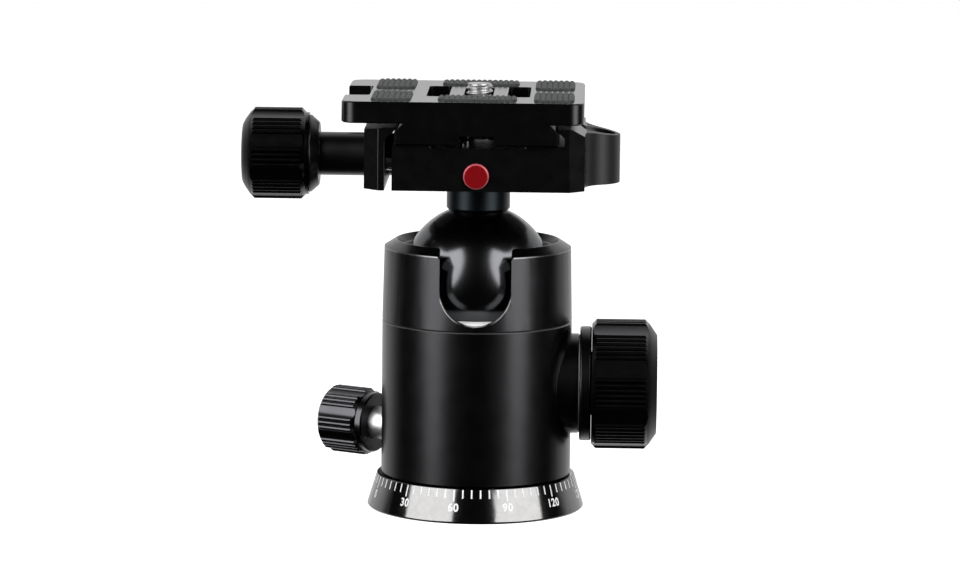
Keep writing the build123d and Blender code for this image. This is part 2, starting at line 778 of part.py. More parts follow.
with BuildPart() as lock_wedge:
    with BuildSketch(Plane.YZ.offset(wedge_end - wedge_length)):
        with Locations((0, lock_height)):
            Circle(wedge_radius)
    extrude(amount=wedge_length)
    with BuildSketch(Plane.XZ):
        ramp_end = lifter_stem_radius + wedge_ramp_margin
        Polygon(
            (-2 * wedge_length, ramp_height(-2 * wedge_length)),
            (ramp_end, ramp_height(ramp_end)),
            (ramp_end, lock_height + 2 * wedge_radius),
            (-2 * wedge_length, lock_height + 2 * wedge_radius),
            align=None,
        )
    extrude(amount=2 * wedge_radius, both=True, mode=Mode.SUBTRACT)
lock_wedge.part.label = "lock_wedge"
export_step(lock_wedge.part, "parts/lock_wedge.step")

with BuildPart() as seat_lifter:
    dish = ball_radius + lifter_dish_gap
    lifter_top = lower_seat_bottom - seat_gap
    dish_radius = sphere_radius_at(dish, lifter_top)
    with BuildSketch(Plane.XZ):
        with BuildLine():
            ThreePointArc(
                (0, ball_height - dish),
                (dish_radius / 2, ball_height - sqrt(dish**2 - dish_radius**2 / 4)),
                (dish_radius, lifter_top),
            )
            Polyline(
                (dish_radius, lifter_top),
                (lifter_radius, lifter_top),
                (lifter_radius, lifter_bottom),
                (lifter_stem_radius, lifter_bottom),
                (lifter_stem_radius, lock_height),
                (0, lock_height),
                (0, ball_height - dish),
            )
        make_face()
    revolve(axis=Axis.Z)
    with BuildSketch(Plane.XZ):
        reach = 2 * lifter_stem_radius
        Polygon(
            (-reach, ramp_height(-reach) + slide_gap),
            (reach, ramp_height(reach) + slide_gap),
            (reach, lock_height - reach),
            (-reach, lock_height - reach),
            align=None,
        )
    extrude(amount=reach, both=True, mode=Mode.SUBTRACT)
seat_lifter.part.label = "seat_lifter"
export_step(seat_lifter.part, "parts/seat_lifter.step")

lock_shaft_start = wedge_end + seat_gap
dial_seat = lock_knob_far - dial_thickness
sleeve_end = dial_seat - lock_knob_web
with BuildPart() as lock_shaft:
    with BuildSketch(lock_plane):
        with Locations((lock_shaft_start, 0)):
            Rectangle(
                sleeve_end - seat_gap - lock_shaft_start,
                lock_thread_radius,
                align=(Align.MIN, Align.MIN),
            )
    revolve(axis=lock_axis)
lock_shaft.part.label = "lock_shaft"
export_step(lock_shaft.part, "parts/lock_shaft.step")

with BuildPart() as lock_knob_hub:
    with BuildSketch(lock_plane):
        Polygon(
            (lock_flange_near, lock_thread_radius + running_gap),
            (lock_flange_near, lock_flange_radius - edge),
            (lock_flange_near + edge, lock_flange_radius),
            (lock_flange_far - edge, lock_flange_radius),
            (lock_flange_far, lock_flange_radius - edge),
            (lock_flange_far, lock_sleeve_radius),
            (sleeve_end, lock_sleeve_radius),
            (sleeve_end, lock_thread_radius + running_gap),
            align=None,
        )
    revolve(axis=lock_axis)
lock_knob_hub.part.label = "lock_knob_hub"
export_step(lock_knob_hub.part, "parts/lock_knob_hub.step")

grip_near = lock_flange_far + seat_gap
with BuildPart() as lock_knob:
    with BuildSketch(Plane.YZ.offset(grip_near)):
        with Locations((0, lock_height)):
            add(fluted_section(lock_knob_radius, 6))
    extrude(amount=lock_knob_far - grip_near)
    with BuildSketch(lock_plane):
        Polygon(
            (grip_near, lock_sleeve_radius + running_gap),
            (grip_near, lock_knob_radius - grip_chamfer),
            (grip_near + grip_chamfer, lock_knob_radius),
            (lock_knob_far - 2.6 * grip_chamfer, lock_knob_radius),
            (lock_knob_far - 1.6 * grip_chamfer, lock_knob_radius - grip_chamfer),
            (lock_knob_far, lock_knob_radius - 3.3 * grip_chamfer),
            (lock_knob_far, dial_radius + slide_gap),
            (dial_seat - slide_gap, dial_radius + slide_gap),
            (dial_seat - slide_gap, lock_knob_web_bore),
            (sleeve_end + seat_gap, lock_knob_web_bore),
            (sleeve_end + seat_gap, lock_sleeve_radius + running_gap),
            align=None,
        )
    revolve(axis=lock_axis, mode=Mode.INTERSECT)
lock_knob.part.label = "lock_knob"
export_step(lock_knob.part, "parts/lock_knob.step")

with BuildPart() as friction_dial:
    with BuildSketch(lock_plane):
        Polygon(
            (dial_seat - dial_boss_length, 0),
            (dial_seat - dial_boss_length, dial_boss_radius),
            (dial_seat, dial_boss_radius),
            (dial_seat, dial_radius),
            (lock_knob_far - dial_sink - edge, dial_radius),
            (lock_knob_far - dial_sink, dial_radius - edge),
            (lock_knob_far - dial_sink, 0),
            align=None,
        )
    revolve(axis=lock_axis)
    with BuildSketch(Plane.YZ.offset(lock_knob_far - dial_sink)):
        with Locations((0, lock_height)):
            SlotOverall(*dial_slot[:2])
    extrude(amount=-dial_slot[2], mode=Mode.SUBTRACT)
friction_dial.part.label = "friction_dial"
export_step(friction_dial.part, "parts/friction_dial.step")

# ---- ball and its lower seat ----------------------------------------------------------------
with BuildPart() as lower_ball_seat:
    seat_sphere = ball_radius + ball_gap
    throat = ball_height - sqrt(seat_sphere**2 - lower_seat_bore**2)
    mouth_radius = sphere_radius_at(seat_sphere, lower_seat_top)
    middle = (lower_seat_bore + mouth_radius) / 2
    middle_height = ball_height - sqrt(seat_sphere**2 - middle**2)
    with BuildSketch(Plane.XZ):
        with BuildLine():
            ThreePointArc(
                (lower_seat_bore, throat), (middle, middle_height), (mouth_radius, lower_seat_top)
            )
            Polyline(
                (mouth_radius, lower_seat_top),
                (lower_seat_radius, lower_seat_top),
                (lower_seat_radius, lower_seat_bottom),
                (lower_seat_bore, lower_seat_bottom),
                (lower_seat_bore, throat),
            )
        make_face()
    revolve(axis=Axis.Z)
lower_ball_seat.part.label = "lower_ball_seat"
export_step(lower_ball_seat.part, "parts/lower_ball_seat.step")

bolt_pocket = clamp_floor - strip_depth - clamp_bolt_sink - clamp_bolt_head_height
bolt_bottom = bolt_pocket - clamp_bolt_length
with BuildPart() as ball:
    with BuildSketch(Plane.XZ):
        with BuildLine():
            ThreePointArc(
                (0, ball_height - ball_radius), (ball_radius, ball_height), (neck_root_radius, neck_meets)
            )
            Polyline(
                (neck_root_radius, neck_meets),
                (neck_radius, neck_step),
                (neck_radius, neck_top),
                (0, neck_top),
                (0, ball_height - ball_radius),
            )
        make_face()
    revolve(axis=Axis.Z)
    with Locations((0, 0, neck_top)):
        Hole(clamp_bolt_radius + running_gap, depth=neck_top - bolt_bottom + edge)
ball.part.label = "ball"
export_step(ball.part, "parts/ball.step")

# ---- clamp body -----------------------------------------------------------------------------
lip_height = jaw_lip_height - jaw_lip_land
lip_x = dovetail_half_width + dovetail_shoulder + 1.5 * slide_gap - lip_height
groove_back = lip_x + jaw_groove_depth
boss_tip = clamp_left - screw_boss_length
clamp_screw_tip = clamp_left + clamp_screw_depth
guide_pin_inner = clamp_left + guide_pin_depth
stop_foot = button_height - stop_tail
stop_top = clamp_floor + stop_proud
dowel_foot = clamp_floor - dowel_depth
vial_floor = vial_top - vial_depth

with BuildPart() as clamp_body:
    with BuildSketch(Plane.XY.offset(clamp_bottom)):
        with BuildLine():
            Polyline(
                (clamp_left, -clamp_half_depth),
                (clamp_right - clamp_corner, -clamp_half_depth),
                (clamp_right, -clamp_half_depth + clamp_corner),
                (clamp_right, clamp_half_depth - clamp_corner),
                (clamp_right - clamp_corner, clamp_half_depth),
                (clamp_left, clamp_half_depth),
                close=True,
            )
        make_face()
        with Locations((clamp_right, 0)):
            Circle(lobe_radius)
        fillet(
            [
                v
                for v in vertices()
                if abs(v.X - clamp_right) < 0.01 and abs(v.Y) < lobe_radius + edge
            ],
            lobe_fillet,
        )
    extrude(amount=jaw_lip_height - clamp_bottom)
    with BuildSketch(Plane.XZ.offset(-clamp_half_depth)):
        Polygon(
            (clamp_left, clamp_bottom),
            (clamp_right + 2 * lobe_radius, clamp_bottom),
            (clamp_right + 2 * lobe_radius, lobe_outer_height - lobe_drop),
            (clamp_right + lobe_radius, lobe_outer_height),
            (clamp_right, jaw_outer_height),
            (dovetail_half_width + jaw_top_flat, jaw_lip_height),
            (lip_x, jaw_lip_height),
            (lip_x, lip_height),
            (groove_back, lip_height - jaw_groove_depth),
            (groove_back, clamp_floor),
            (strip_right + strip_depth, clamp_floor),
            (strip_right, clamp_floor - strip_depth),
            (strip_left, clamp_floor - strip_depth),
            (strip_left - strip_depth, clamp_floor),
            (clamp_left + edge, clamp_floor),
            (clamp_left, clamp_floor - edge),
            align=None,
        )
    extrude(amount=2 * clamp_half_depth, mode=Mode.INTERSECT)
    with BuildSketch(Plane.YZ.offset(clamp_left)):
        with Locations((0, knob_axis_height)):
            Circle(screw_boss_radius)
    extrude(amount=-screw_boss_length)
    with BuildSketch(Plane.YZ.offset(boss_tip)):
        with Locations((0, knob_axis_height)):
            Circle(clamp_thread_radius + running_gap)
    extrude(amount=clamp_screw_tip + clamp_screw_runout - boss_tip, mode=Mode.SUBTRACT)
    with BuildSketch(Plane.YZ.offset(clamp_left)):
        with Locations((-guide_pin_offset, knob_axis_height), (guide_pin_offset, knob_axis_height)):
            Circle(guide_pin_radius + running_gap)
    extrude(amount=guide_pin_inner + seat_gap - clamp_left, mode=Mode.SUBTRACT)
    with BuildSketch(Plane.XY.offset(bolt_pocket)):
        Circle(clamp_bolt_head_radius + slide_gap)
    extrude(amount=clamp_floor - bolt_pocket, mode=Mode.SUBTRACT)
    with BuildSketch(Plane.XY.offset(clamp_bottom)):
        Circle(clamp_bolt_radius + running_gap)
    extrude(amount=bolt_pocket - clamp_bottom, mode=Mode.SUBTRACT)
    with BuildSketch(Plane.XY.offset(vial_floor)):
        with Locations((vial_x, 0)):
            Circle(vial_radius + running_gap)
    extrude(amount=jaw_lip_height - vial_floor, mode=Mode.SUBTRACT)
    with BuildSketch(Plane.XZ.offset(clamp_half_depth)):
        with Locations((0, button_height)):
            Circle(button_radius + running_gap)
    extrude(
        amount=-(clamp_half_depth + button_back + stop_lift + slide_gap), mode=Mode.SUBTRACT
    )
    with BuildSketch(Plane.XZ.offset(-button_back)):
        with Locations((0, button_height)):
            Circle(spring_radius + spring_wire + slide_gap)
    extrude(amount=-(spring_length + seat_gap), mode=Mode.SUBTRACT)
    with BuildSketch(Plane.XY.offset(stop_foot - stop_lift - slide_gap)):
        with Locations((stop_x, -stop_y)):
            Circle(stop_radius + running_gap)
    extrude(amount=clamp_floor - stop_foot + stop_lift + slide_gap, mode=Mode.SUBTRACT)
    with BuildSketch(Plane.XY.offset(dowel_foot)):
        with Locations((stop_x, stop_y)):
            Circle(stop_radius + running_gap)
    extrude(amount=dowel_depth, mode=Mode.SUBTRACT)
clamp_body.part.label = "clamp_body"
export_step(clamp_body.part, "parts/clamp_body.step")

with BuildPart(Plane.XY.offset(bolt_bottom + seat_gap)) as clamp_bolt:
    add(
        bolt_shape(
            clamp_bolt_head_radius,
            clamp_bolt_head_height,
            clamp_bolt_radius,
            clamp_bolt_length,
            clamp_bolt_socket,
        )
    )
clamp_bolt.part.label = "clamp_bolt"
export_step(clamp_bolt.part, "parts/clamp_bolt.step")

with BuildPart() as level_vial:
    with BuildSketch(Plane.XY.offset(vial_floor + seat_gap)):
        with Locations((vial_x, 0)):
            Circle(vial_radius)
    extrude(amount=vial_depth)
    chamfer(level_vial.edges().sort_by(Axis.Z)[-1], edge)
    with BuildSketch(Plane.XY.offset(vial_floor + seat_gap + vial_cap)):
        with Locations((vial_x, 0)):
            Circle(vial_radius - vial_wall)
    extrude(amount=vial_depth - 2 * vial_cap, mode=Mode.SUBTRACT)
level_vial.part.label = "level_vial"
export_step(level_vial.part, "parts/level_vial.step")

with BuildPart() as level_fluid:
    with BuildSketch(Plane.XY.offset(vial_floor + 2 * seat_gap + vial_cap)):
        with Locations((vial_x, 0)):
            Circle(vial_radius - vial_wall - seat_gap)
    extrude(amount=vial_depth - 2 * vial_cap - 2 * seat_gap)
    with Locations((vial_x, 0, vial_floor + vial_depth - vial_cap)):
        Cylinder(
            bubble_radius,
            bubble_height,
            align=(Align.CENTER, Align.CENTER, Align.MAX),
            mode=Mode.SUBTRACT,
        )
level_fluid.part.label = "level_fluid"
export_step(level_fluid.part, "parts/level_fluid.step")

with BuildPart() as jaw_guide_pins:
    pin_tip = jaw_far + guide_pin_end_wall + slide_gap
    with BuildSketch(Plane.YZ.offset(guide_pin_inner)):
        with Locations((-guide_pin_offset, knob_axis_height), (guide_pin_offset, knob_axis_height)):
            Circle(guide_pin_radius)
    extrude(amount=pin_tip - guide_pin_inner)
jaw_guide_pins.part.label = "jaw_guide_pins"
export_step(jaw_guide_pins.part, "parts/jaw_guide_pins.step")

with BuildPart() as plate_stop_dowel:
    with BuildSketch(Plane.XY.offset(dowel_foot + seat_gap)):
        with Locations((stop_x, stop_y)):
            Circle(stop_radius)
    extrude(amount=stop_top - dowel_foot - seat_gap)
    chamfer(plate_stop_dowel.edges().sort_by(Axis.Z)[-1], stop_chamfer)
plate_stop_dowel.part.label = "plate_stop_dowel"
export_step(plate_stop_dowel.part, "parts/plate_stop_dowel.step")

# ---- moving jaw and its knob ----------------------------------------------------------------
jaw_lip_x = -lip_x
jaw_web_face = jaw_far + jaw_web
with BuildPart() as moving_jaw:
    with BuildSketch(Plane.XY.offset(clamp_bottom)):
        Polygon(
            (jaw_lip_x, -clamp_half_depth),
            (jaw_lip_x, clamp_half_depth),
            (jaw_far + jaw_corner, clamp_half_depth),
            (jaw_far, clamp_half_depth - clamp_corner),
            (jaw_far, -clamp_half_depth + clamp_corner),
            (jaw_far + jaw_corner, -clamp_half_depth),
            align=None,
        )
    extrude(amount=jaw_lip_height - clamp_bottom)
    with BuildSketch(Plane.XZ.offset(-clamp_half_depth)):
        Polygon(
            (jaw_far, clamp_bottom),
            (jaw_near, clamp_bottom),
            (jaw_near, lip_height - (jaw_lip_x - jaw_near)),
            (jaw_lip_x, lip_height),
            (jaw_lip_x, jaw_lip_height),
            (jaw_lip_x - jaw_flat_top, jaw_lip_height),
            (jaw_far, jaw_lip_height - jaw_outer_drop),
            align=None,
        )
    extrude(amount=2 * clamp_half_depth, mode=Mode.INTERSECT)
    with BuildSketch(Plane.YZ.offset(jaw_near)):
        with Locations((0, knob_axis_height)):
            Circle(screw_boss_radius + slide_gap)
    extrude(amount=jaw_web_face - jaw_near, mode=Mode.SUBTRACT)
    with BuildSketch(Plane.YZ.offset(jaw_near)):
        with Locations((0, knob_axis_height)):
            Circle(clamp_thread_radius + running_gap)
    extrude(amount=jaw_far - jaw_near, mode=Mode.SUBTRACT)
    with BuildSketch(Plane.YZ.offset(jaw_near)):
        with Locations((-guide_pin_offset, knob_axis_height), (guide_pin_offset, knob_axis_height)):
            Circle(guide_pin_radius + running_gap)
    extrude(amount=jaw_far + guide_pin_end_wall - jaw_near, mode=Mode.SUBTRACT)
moving_jaw.part.label = "moving_jaw"
export_step(moving_jaw.part, "parts/moving_jaw.step")

knob_axis = Axis((0, 0, knob_axis_height), (1, 0, 0))
knob_plane = Plane(origin=(0, 0, knob_axis_height), x_dir=(1, 0, 0), z_dir=(0, -1, 0))
clip_far = jaw_web_face + seat_gap
clamp_knob_step_face = clamp_knob_near - clamp_flange_land
clamp_knob_far = clamp_knob_step_face - seat_gap - clamp_knob_length
stem_far = clamp_knob_step_face - clamp_stem_seat
with BuildPart() as clamp_screw:
    with BuildSketch(knob_plane):
        Polygon(
            (clamp_screw_tip, 0),
            (clamp_screw_tip, clamp_thread_radius - edge),
            (clamp_screw_tip - edge, clamp_thread_radius),
            (clip_far + clip_thickness, clamp_thread_radius),
            (clip_far + clip_thickness, clamp_thread_radius - clip_groove),
            (clip_far, clamp_thread_radius - clip_groove),
            (clip_far, clamp_thread_radius),
            (jaw_far - seat_gap, clamp_thread_radius),
            (jaw_far - seat_gap, clamp_stem_radius),
            (clamp_knob_near + clamp_flange_cone, clamp_stem_radius),
            (clamp_knob_near + clamp_flange_cone, clamp_flange_radius - clamp_flange_bevel),
            (clamp_knob_near, clamp_flange_radius),
            (clamp_knob_step_face, clamp_flange_radius),
            (clamp_knob_step_face, clamp_stem_radius),
            (stem_far, clamp_stem_radius),
            (stem_far, 0),
            align=None,
        )
    revolve(axis=knob_axis)
clamp_screw.part.label = "clamp_screw"
export_step(clamp_screw.part, "parts/clamp_screw.step")

grip_inner = clamp_knob_step_face - seat_gap
grip_shoulder = grip_inner - clamp_knob_step
with BuildPart() as clamp_knob:
    with BuildSketch(Plane.YZ.offset(grip_inner)):
        with Locations((0, knob_axis_height)):
            add(fluted_section(clamp_knob_radius, 4))
    extrude(amount=clamp_knob_far - grip_inner)
    with BuildSketch(knob_plane):
        Polygon(
            (grip_inner, clamp_stem_radius + running_gap),
            (grip_inner, clamp_knob_radius - grip_chamfer),
            (grip_shoulder, clamp_knob_radius - grip_chamfer),
            (grip_shoulder - grip_chamfer, clamp_knob_radius),
            (clamp_knob_far + 2.6 * grip_chamfer, clamp_knob_radius),
            (clamp_knob_far + 1.6 * grip_chamfer, clamp_knob_radius - grip_chamfer),
            (clamp_knob_far + 0.6 * grip_chamfer, clamp_knob_radius - 2.4 * grip_chamfer),
            (clamp_knob_far, clamp_knob_radius - 3.5 * grip_chamfer),
            (clamp_knob_far, 0),
            (stem_far - seat_gap, 0),
            (stem_far - seat_gap, clamp_stem_radius + running_gap),
            align=None,
        )
    revolve(axis=knob_axis, mode=Mode.INTERSECT)
clamp_knob.part.label = "clamp_knob"
export_step(clamp_knob.part, "parts/clamp_knob.step")

with BuildPart() as jaw_retaining_clip:
    with BuildSketch(Plane.YZ.offset(clip_far + seat_gap)):
        with Locations((0, knob_axis_height)):
            Circle(clamp_thread_radius + clip_width)
            Circle(clamp_thread_radius - clip_groove + running_gap, mode=Mode.SUBTRACT)
        with Locations((0, knob_axis_height - clamp_thread_radius)):
            Rectangle(clip_opening, 2 * clamp_thread_radius, mode=Mode.SUBTRACT)
    extrude(amount=clip_thickness - 2 * seat_gap)
jaw_retaining_clip.part.label = "jaw_retaining_clip"
export_step(jaw_retaining_clip.part, "parts/jaw_retaining_clip.step")

# ---- plate release --------------------------------------------------------------------------
button_front = -clamp_half_depth - button_proud
follower_height = button_height + follower_above
slot_reach = stop_lift + follower_radius + slide_gap
with BuildPart() as release_button:
    with BuildSketch(Plane.XZ.offset(-button_front)):
        with Locations((0, button_height)):
            Circle(button_radius)
    extrude(amount=button_front - button_back)
    chamfer(release_button.edges().sort_by(Axis.Y)[0], button_chamfer)
    with BuildSketch(Plane.XZ.offset(-button_front - button_head)):
        with Locations((button_flat, button_height)):
            Rectangle(
                2 * button_radius, 3 * button_radius, align=(Align.MAX, Align.CENTER)
            )
    extrude(amount=button_front + button_head - button_back, mode=Mode.SUBTRACT)
    with BuildSketch(Plane.YZ.offset(button_flat)):
        with Locations(Location((-stop_y, follower_height), 45)):
            with Locations((-slot_reach / 2 * sqrt(2) + slot_reach / 4, 0)):
                SlotOverall(
                    slot_reach * sqrt(2) + 2 * follower_radius,
                    2 * (follower_radius + slide_gap),
                )
    extrude(amount=2 * follower_reach, mode=Mode.SUBTRACT)
release_button.part.label = "release_button"
export_step(release_button.part, "parts/release_button.step")

with BuildPart() as button_spring:
    with BuildLine():
        coil = Helix(
            pitch=(spring_length - 2 * spring_wire) / spring_coils,
            height=spring_length - 2 * spring_wire,
            radius=spring_radius,
            center=(0, button_back + spring_wire + seat_gap, button_height),
            direction=(0, 1, 0),
        )
    with BuildSketch(Plane(origin=coil @ 0, z_dir=coil % 0)):
        Circle(spring_wire)
    sweep(path=coil, is_frenet=True)
button_spring.part.label = "button_spring"
export_step(button_spring.part, "parts/button_spring.step")

with BuildPart() as stop_pin:
    with BuildSketch(Plane.XY.offset(stop_foot)):
        with Locations((stop_x, -stop_y)):
            Circle(stop_radius)
    extrude(amount=stop_top - stop_foot)
    chamfer(stop_pin.edges().sort_by(Axis.Z)[-1], stop_chamfer)
    with BuildSketch(Plane.YZ.offset(stop_x)):
        with Locations((-stop_y, follower_height)):
            Circle(follower_radius)
    extrude(amount=button_flat + follower_reach - stop_x)
stop_pin.part.label = "stop_pin"
export_step(stop_pin.part, "parts/stop_pin.step")

# ---- quick-release plate --------------------------------------------------------------------
groove_roof = clamp_floor + stop_groove_depth
safety_screw_bottom = clamp_floor + safety_screw_lift
head_bottom = clamp_floor + camera_screw_lift
head_top = head_bottom + camera_screw_head_height
washer_low = head_top + seat_gap
plate_middle = (plate_left + plate_right) / 2
neck_half_width = dovetail_half_width - dovetail_slope
with BuildPart() as quick_release_plate:
    with BuildSketch(Plane.XY.offset(plate_bottom)):
        with Locations((plate_middle, 0)):
            RectangleRounded(plate_right - plate_left, 2 * plate_half_length, plate_corner)
    extrude(amount=plate_top - plate_bottom)
    chamfer(quick_release_plate.faces().sort_by(Axis.Z)[-1].edges(), plate_edge)
    chamfer(quick_release_plate.faces().sort_by(Axis.Z)[0].edges(), plate_edge)
    with BuildSketch(Plane.XZ.offset(-plate_half_length)):
        Polygon(
            (-dovetail_half_width, clamp_floor + seat_gap),
            (dovetail_half_width, clamp_floor + seat_gap),
            (dovetail_half_width, dovetail_shoulder),
            (neck_half_width, plate_bottom),
            (neck_half_width, plate_bottom + plate_thickness / 2),
            (-neck_half_width, plate_bottom + plate_thickness / 2),
            (-neck_half_width, plate_bottom),
            (-dovetail_half_width, dovetail_shoulder),
            align=None,
        )
    extrude(amount=2 * plate_half_length)
    dovetail_ends = quick_release_plate.edges().filter_by(
        lambda e: abs(abs(e.center().Y) - plate_half_length) < 0.01
        and e.bounding_box().max.Z < dovetail_shoulder + 0.01
    )
    chamfer(dovetail_ends, dovetail_edge)
    with BuildSketch(Plane.XY.offset(clamp_floor)):
        with Locations(((plate_slot_inner + plate_slot_outer) / 2, 0)):
            RectangleRounded(
                plate_slot_outer - plate_slot_inner, 2 * plate_slot_half_length, plate_slot_corner
            )
        with Locations((-(plate_slot_inner + plate_slot_outer) / 2, 0)):
            RectangleRounded(
                plate_slot_outer - plate_slot_inner, 2 * plate_slot_half_length, plate_slot_corner
            )
        with Locations((side_notch_edge, 0)):
            RectangleRounded(
                2 * (side_notch_edge - plate_left),
                2 * side_notch_half_length,
                plate_slot_corner,
                align=(Align.MAX, Align.CENTER),
            )
        SlotOverall(2 * camera_slot_half_length, 2 * camera_slot_half_width, rotation=90)
    extrude(amount=plate_top - clamp_floor, mode=Mode.SUBTRACT)
    with BuildSketch(Plane.XY.offset(clamp_floor)):
        head_slot_half_length = (
            camera_slot_half_length - camera_slot_half_width + head_slot_half_width
        )
        SlotOverall(2 * head_slot_half_length, 2 * head_slot_half_width, rotation=90)
    extrude(amount=head_slot_roof - clamp_floor, mode=Mode.SUBTRACT)
    with BuildSketch(Plane.XY.offset(washer_low - slide_gap)):
        SlotOverall(
            2 * (head_slot_half_length + captive_washer_radius - head_slot_half_width),
            2 * (captive_washer_radius + slide_gap),
            rotation=90,
        )
    extrude(amount=captive_washer_thickness + 2 * slide_gap, mode=Mode.SUBTRACT)
    with BuildSketch(Plane.XY.offset(clamp_floor)):
        for side in (-1, 1):
            with Locations((0, side * plate_half_length)):
                Rectangle(
                    2 * stop_groove_half_width,
                    2 * (plate_half_length - safety_screw_y + 2 * safety_screw_radius),
                )
    extrude(amount=stop_groove_depth, mode=Mode.SUBTRACT)
    with BuildSketch(Plane.XY.offset(groove_roof)):
        with Locations((stop_x, safety_screw_y), (stop_x, -safety_screw_y)):
            Circle(safety_screw_thread + running_gap)
    extrude(amount=safety_screw_length, mode=Mode.SUBTRACT)
    with BuildSketch(Plane.XY.offset(plate_top - pad_depth)):
        for pad_x in side_pad_xs:
            with Locations((pad_x, side_pad_y), (pad_x, -side_pad_y)):
                RectangleRounded(*side_pad_size, pad_corner)
        with Locations((0, middle_pad_y), (0, -middle_pad_y)):
            RectangleRounded(*middle_pad_size, pad_corner)
    extrude(amount=pad_depth, mode=Mode.SUBTRACT)
quick_release_plate.part.label = "quick_release_plate"
export_step(quick_release_plate.part, "parts/quick_release_plate.step")


def pad_shape(width, length):
    """Rubber pad with round ribs along Y, its underside at the origin's height."""
    inner_width = width - 2 * slide_gap
    inner_length = length - 2 * slide_gap
    ribs = round(inner_width / pad_rib_pitch)
    pitch = inner_width / ribs
    root = pad_depth + pad_proud - pad_rib_height - seat_gap
    start = -inner_width / 2
    with BuildPart() as pad:
        with BuildSketch(Plane.XZ.offset(-inner_length / 2)):
            with BuildLine():
                Polyline((-start, root), (-start, 0), (start, 0), (start, root))
                for rib in range(ribs):
                    left = start + rib * pitch
                    ThreePointArc(
                        (left, root), (left + pitch / 2, root + pad_rib_height), (left + pitch, root)
                    )
            make_face()
        extrude(amount=inner_length)
        with BuildSketch(Plane.XY):
            RectangleRounded(inner_width, inner_length, pad_corner - slide_gap)
        extrude(amount=2 * (pad_depth + pad_proud), mode=Mode.INTERSECT)
    return pad.part


pad_bottom = plate_top - pad_depth + seat_gap
with BuildPart() as side_rubber_pads:
    with Locations(*[(x, y, pad_bottom) for x in side_pad_xs for y in (-side_pad_y, side_pad_y)]):
        add(pad_shape(*side_pad_size))
side_rubber_pads.part.label = "side_rubber_pads"
export_step(side_rubber_pads.part, "parts/side_rubber_pads.step")

with BuildPart() as middle_rubber_pads:
    with Locations((0, -middle_pad_y, pad_bottom), (0, middle_pad_y, pad_bottom)):
        add(pad_shape(*middle_pad_size))
middle_rubber_pads.part.label = "middle_rubber_pads"
export_step(middle_rubber_pads.part, "parts/middle_rubber_pads.step")

with BuildPart() as plate_safety_screws:
    with BuildSketch(Plane.XY.offset(safety_screw_bottom)):
        with Locations((stop_x, safety_screw_y), (stop_x, -safety_screw_y)):
            Circle(safety_screw_radius)
    extrude(amount=groove_roof - seat_gap - safety_screw_bottom)
    with BuildSketch(Plane.XY.offset(safety_screw_bottom)):
        with Locations((stop_x, safety_screw_y), (stop_x, -safety_screw_y)):
            Circle(safety_screw_thread)
    extrude(amount=groove_roof + safety_screw_length - safety_screw_end_gap - safety_screw_bottom)
    with BuildSketch(Plane.XY.offset(safety_screw_bottom)):
        with Locations((stop_x, safety_screw_y), (stop_x, -safety_screw_y)):
            RegularPolygon(safety_screw_socket[0], 6)
    extrude(amount=safety_screw_socket[1], mode=Mode.SUBTRACT)
plate_safety_screws.part.label = "plate_safety_screws"
export_step(plate_safety_screws.part, "parts/plate_safety_screws.step")

screw_groove_low = plate_top - camera_screw_neck_below
screw_groove_high = plate_top + camera_screw_neck_above
with BuildPart() as camera_screw:
    with BuildSketch(Plane.XZ):
        Polygon(
            (0, head_bottom),
            (camera_screw_head, head_bottom),
            (camera_screw_head, head_top),
            (camera_screw_radius, head_top),
            (camera_screw_radius, screw_groove_low),
            (camera_screw_radius - camera_screw_neck, screw_groove_low),
            (camera_screw_radius - camera_screw_neck, screw_groove_high),
            (camera_screw_radius, screw_groove_high),
            (camera_screw_radius, camera_screw_top - camera_screw_neck),
            (camera_screw_radius - camera_screw_neck, camera_screw_top),
            (0, camera_screw_top),
            align=None,
        )
    revolve(axis=Axis.Z)
    with BuildSketch(Plane.XY.offset(head_bottom)):
        Rectangle(2 * camera_screw_head, camera_screw_slot)
    extrude(amount=camera_screw_slot, mode=Mode.SUBTRACT)
camera_screw.part.label = "camera_screw"
export_step(camera_screw.part, "parts/camera_screw.step")

with BuildPart() as captive_washer:
    with BuildSketch(Plane.XY.offset(washer_low)):
        Circle(captive_washer_radius)
        Circle(camera_screw_radius + running_gap, mode=Mode.SUBTRACT)
    extrude(amount=captive_washer_thickness)
captive_washer.part.label = "captive_washer"
export_step(captive_washer.part, "parts/captive_washer.step")
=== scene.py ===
"""Tripod ball head: finishes, printed dial, threads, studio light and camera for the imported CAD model."""

from math import cos, hypot, pi, radians, sin, tau

import bpy
from mathutils import Matrix, Vector


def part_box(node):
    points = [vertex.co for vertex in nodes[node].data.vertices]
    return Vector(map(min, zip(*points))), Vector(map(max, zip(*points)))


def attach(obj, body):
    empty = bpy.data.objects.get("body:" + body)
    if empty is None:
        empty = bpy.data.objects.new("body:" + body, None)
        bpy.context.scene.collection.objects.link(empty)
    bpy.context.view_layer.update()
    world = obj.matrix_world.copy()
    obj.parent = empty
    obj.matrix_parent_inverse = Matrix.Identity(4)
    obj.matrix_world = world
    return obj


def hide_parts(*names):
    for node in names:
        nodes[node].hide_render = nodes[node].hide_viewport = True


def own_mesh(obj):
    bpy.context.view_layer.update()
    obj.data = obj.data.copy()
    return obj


MM = 0.001

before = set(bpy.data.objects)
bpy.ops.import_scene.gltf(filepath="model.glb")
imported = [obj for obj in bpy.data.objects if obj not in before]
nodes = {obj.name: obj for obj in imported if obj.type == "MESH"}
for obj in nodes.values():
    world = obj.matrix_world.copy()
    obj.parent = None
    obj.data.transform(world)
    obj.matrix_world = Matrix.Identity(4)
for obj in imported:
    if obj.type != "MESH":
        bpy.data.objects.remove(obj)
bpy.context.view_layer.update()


def box_mm(node):
    """Lowest and highest corners of a CAD node, in millimetres."""
    low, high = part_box(node)
    return low / MM, high / MM


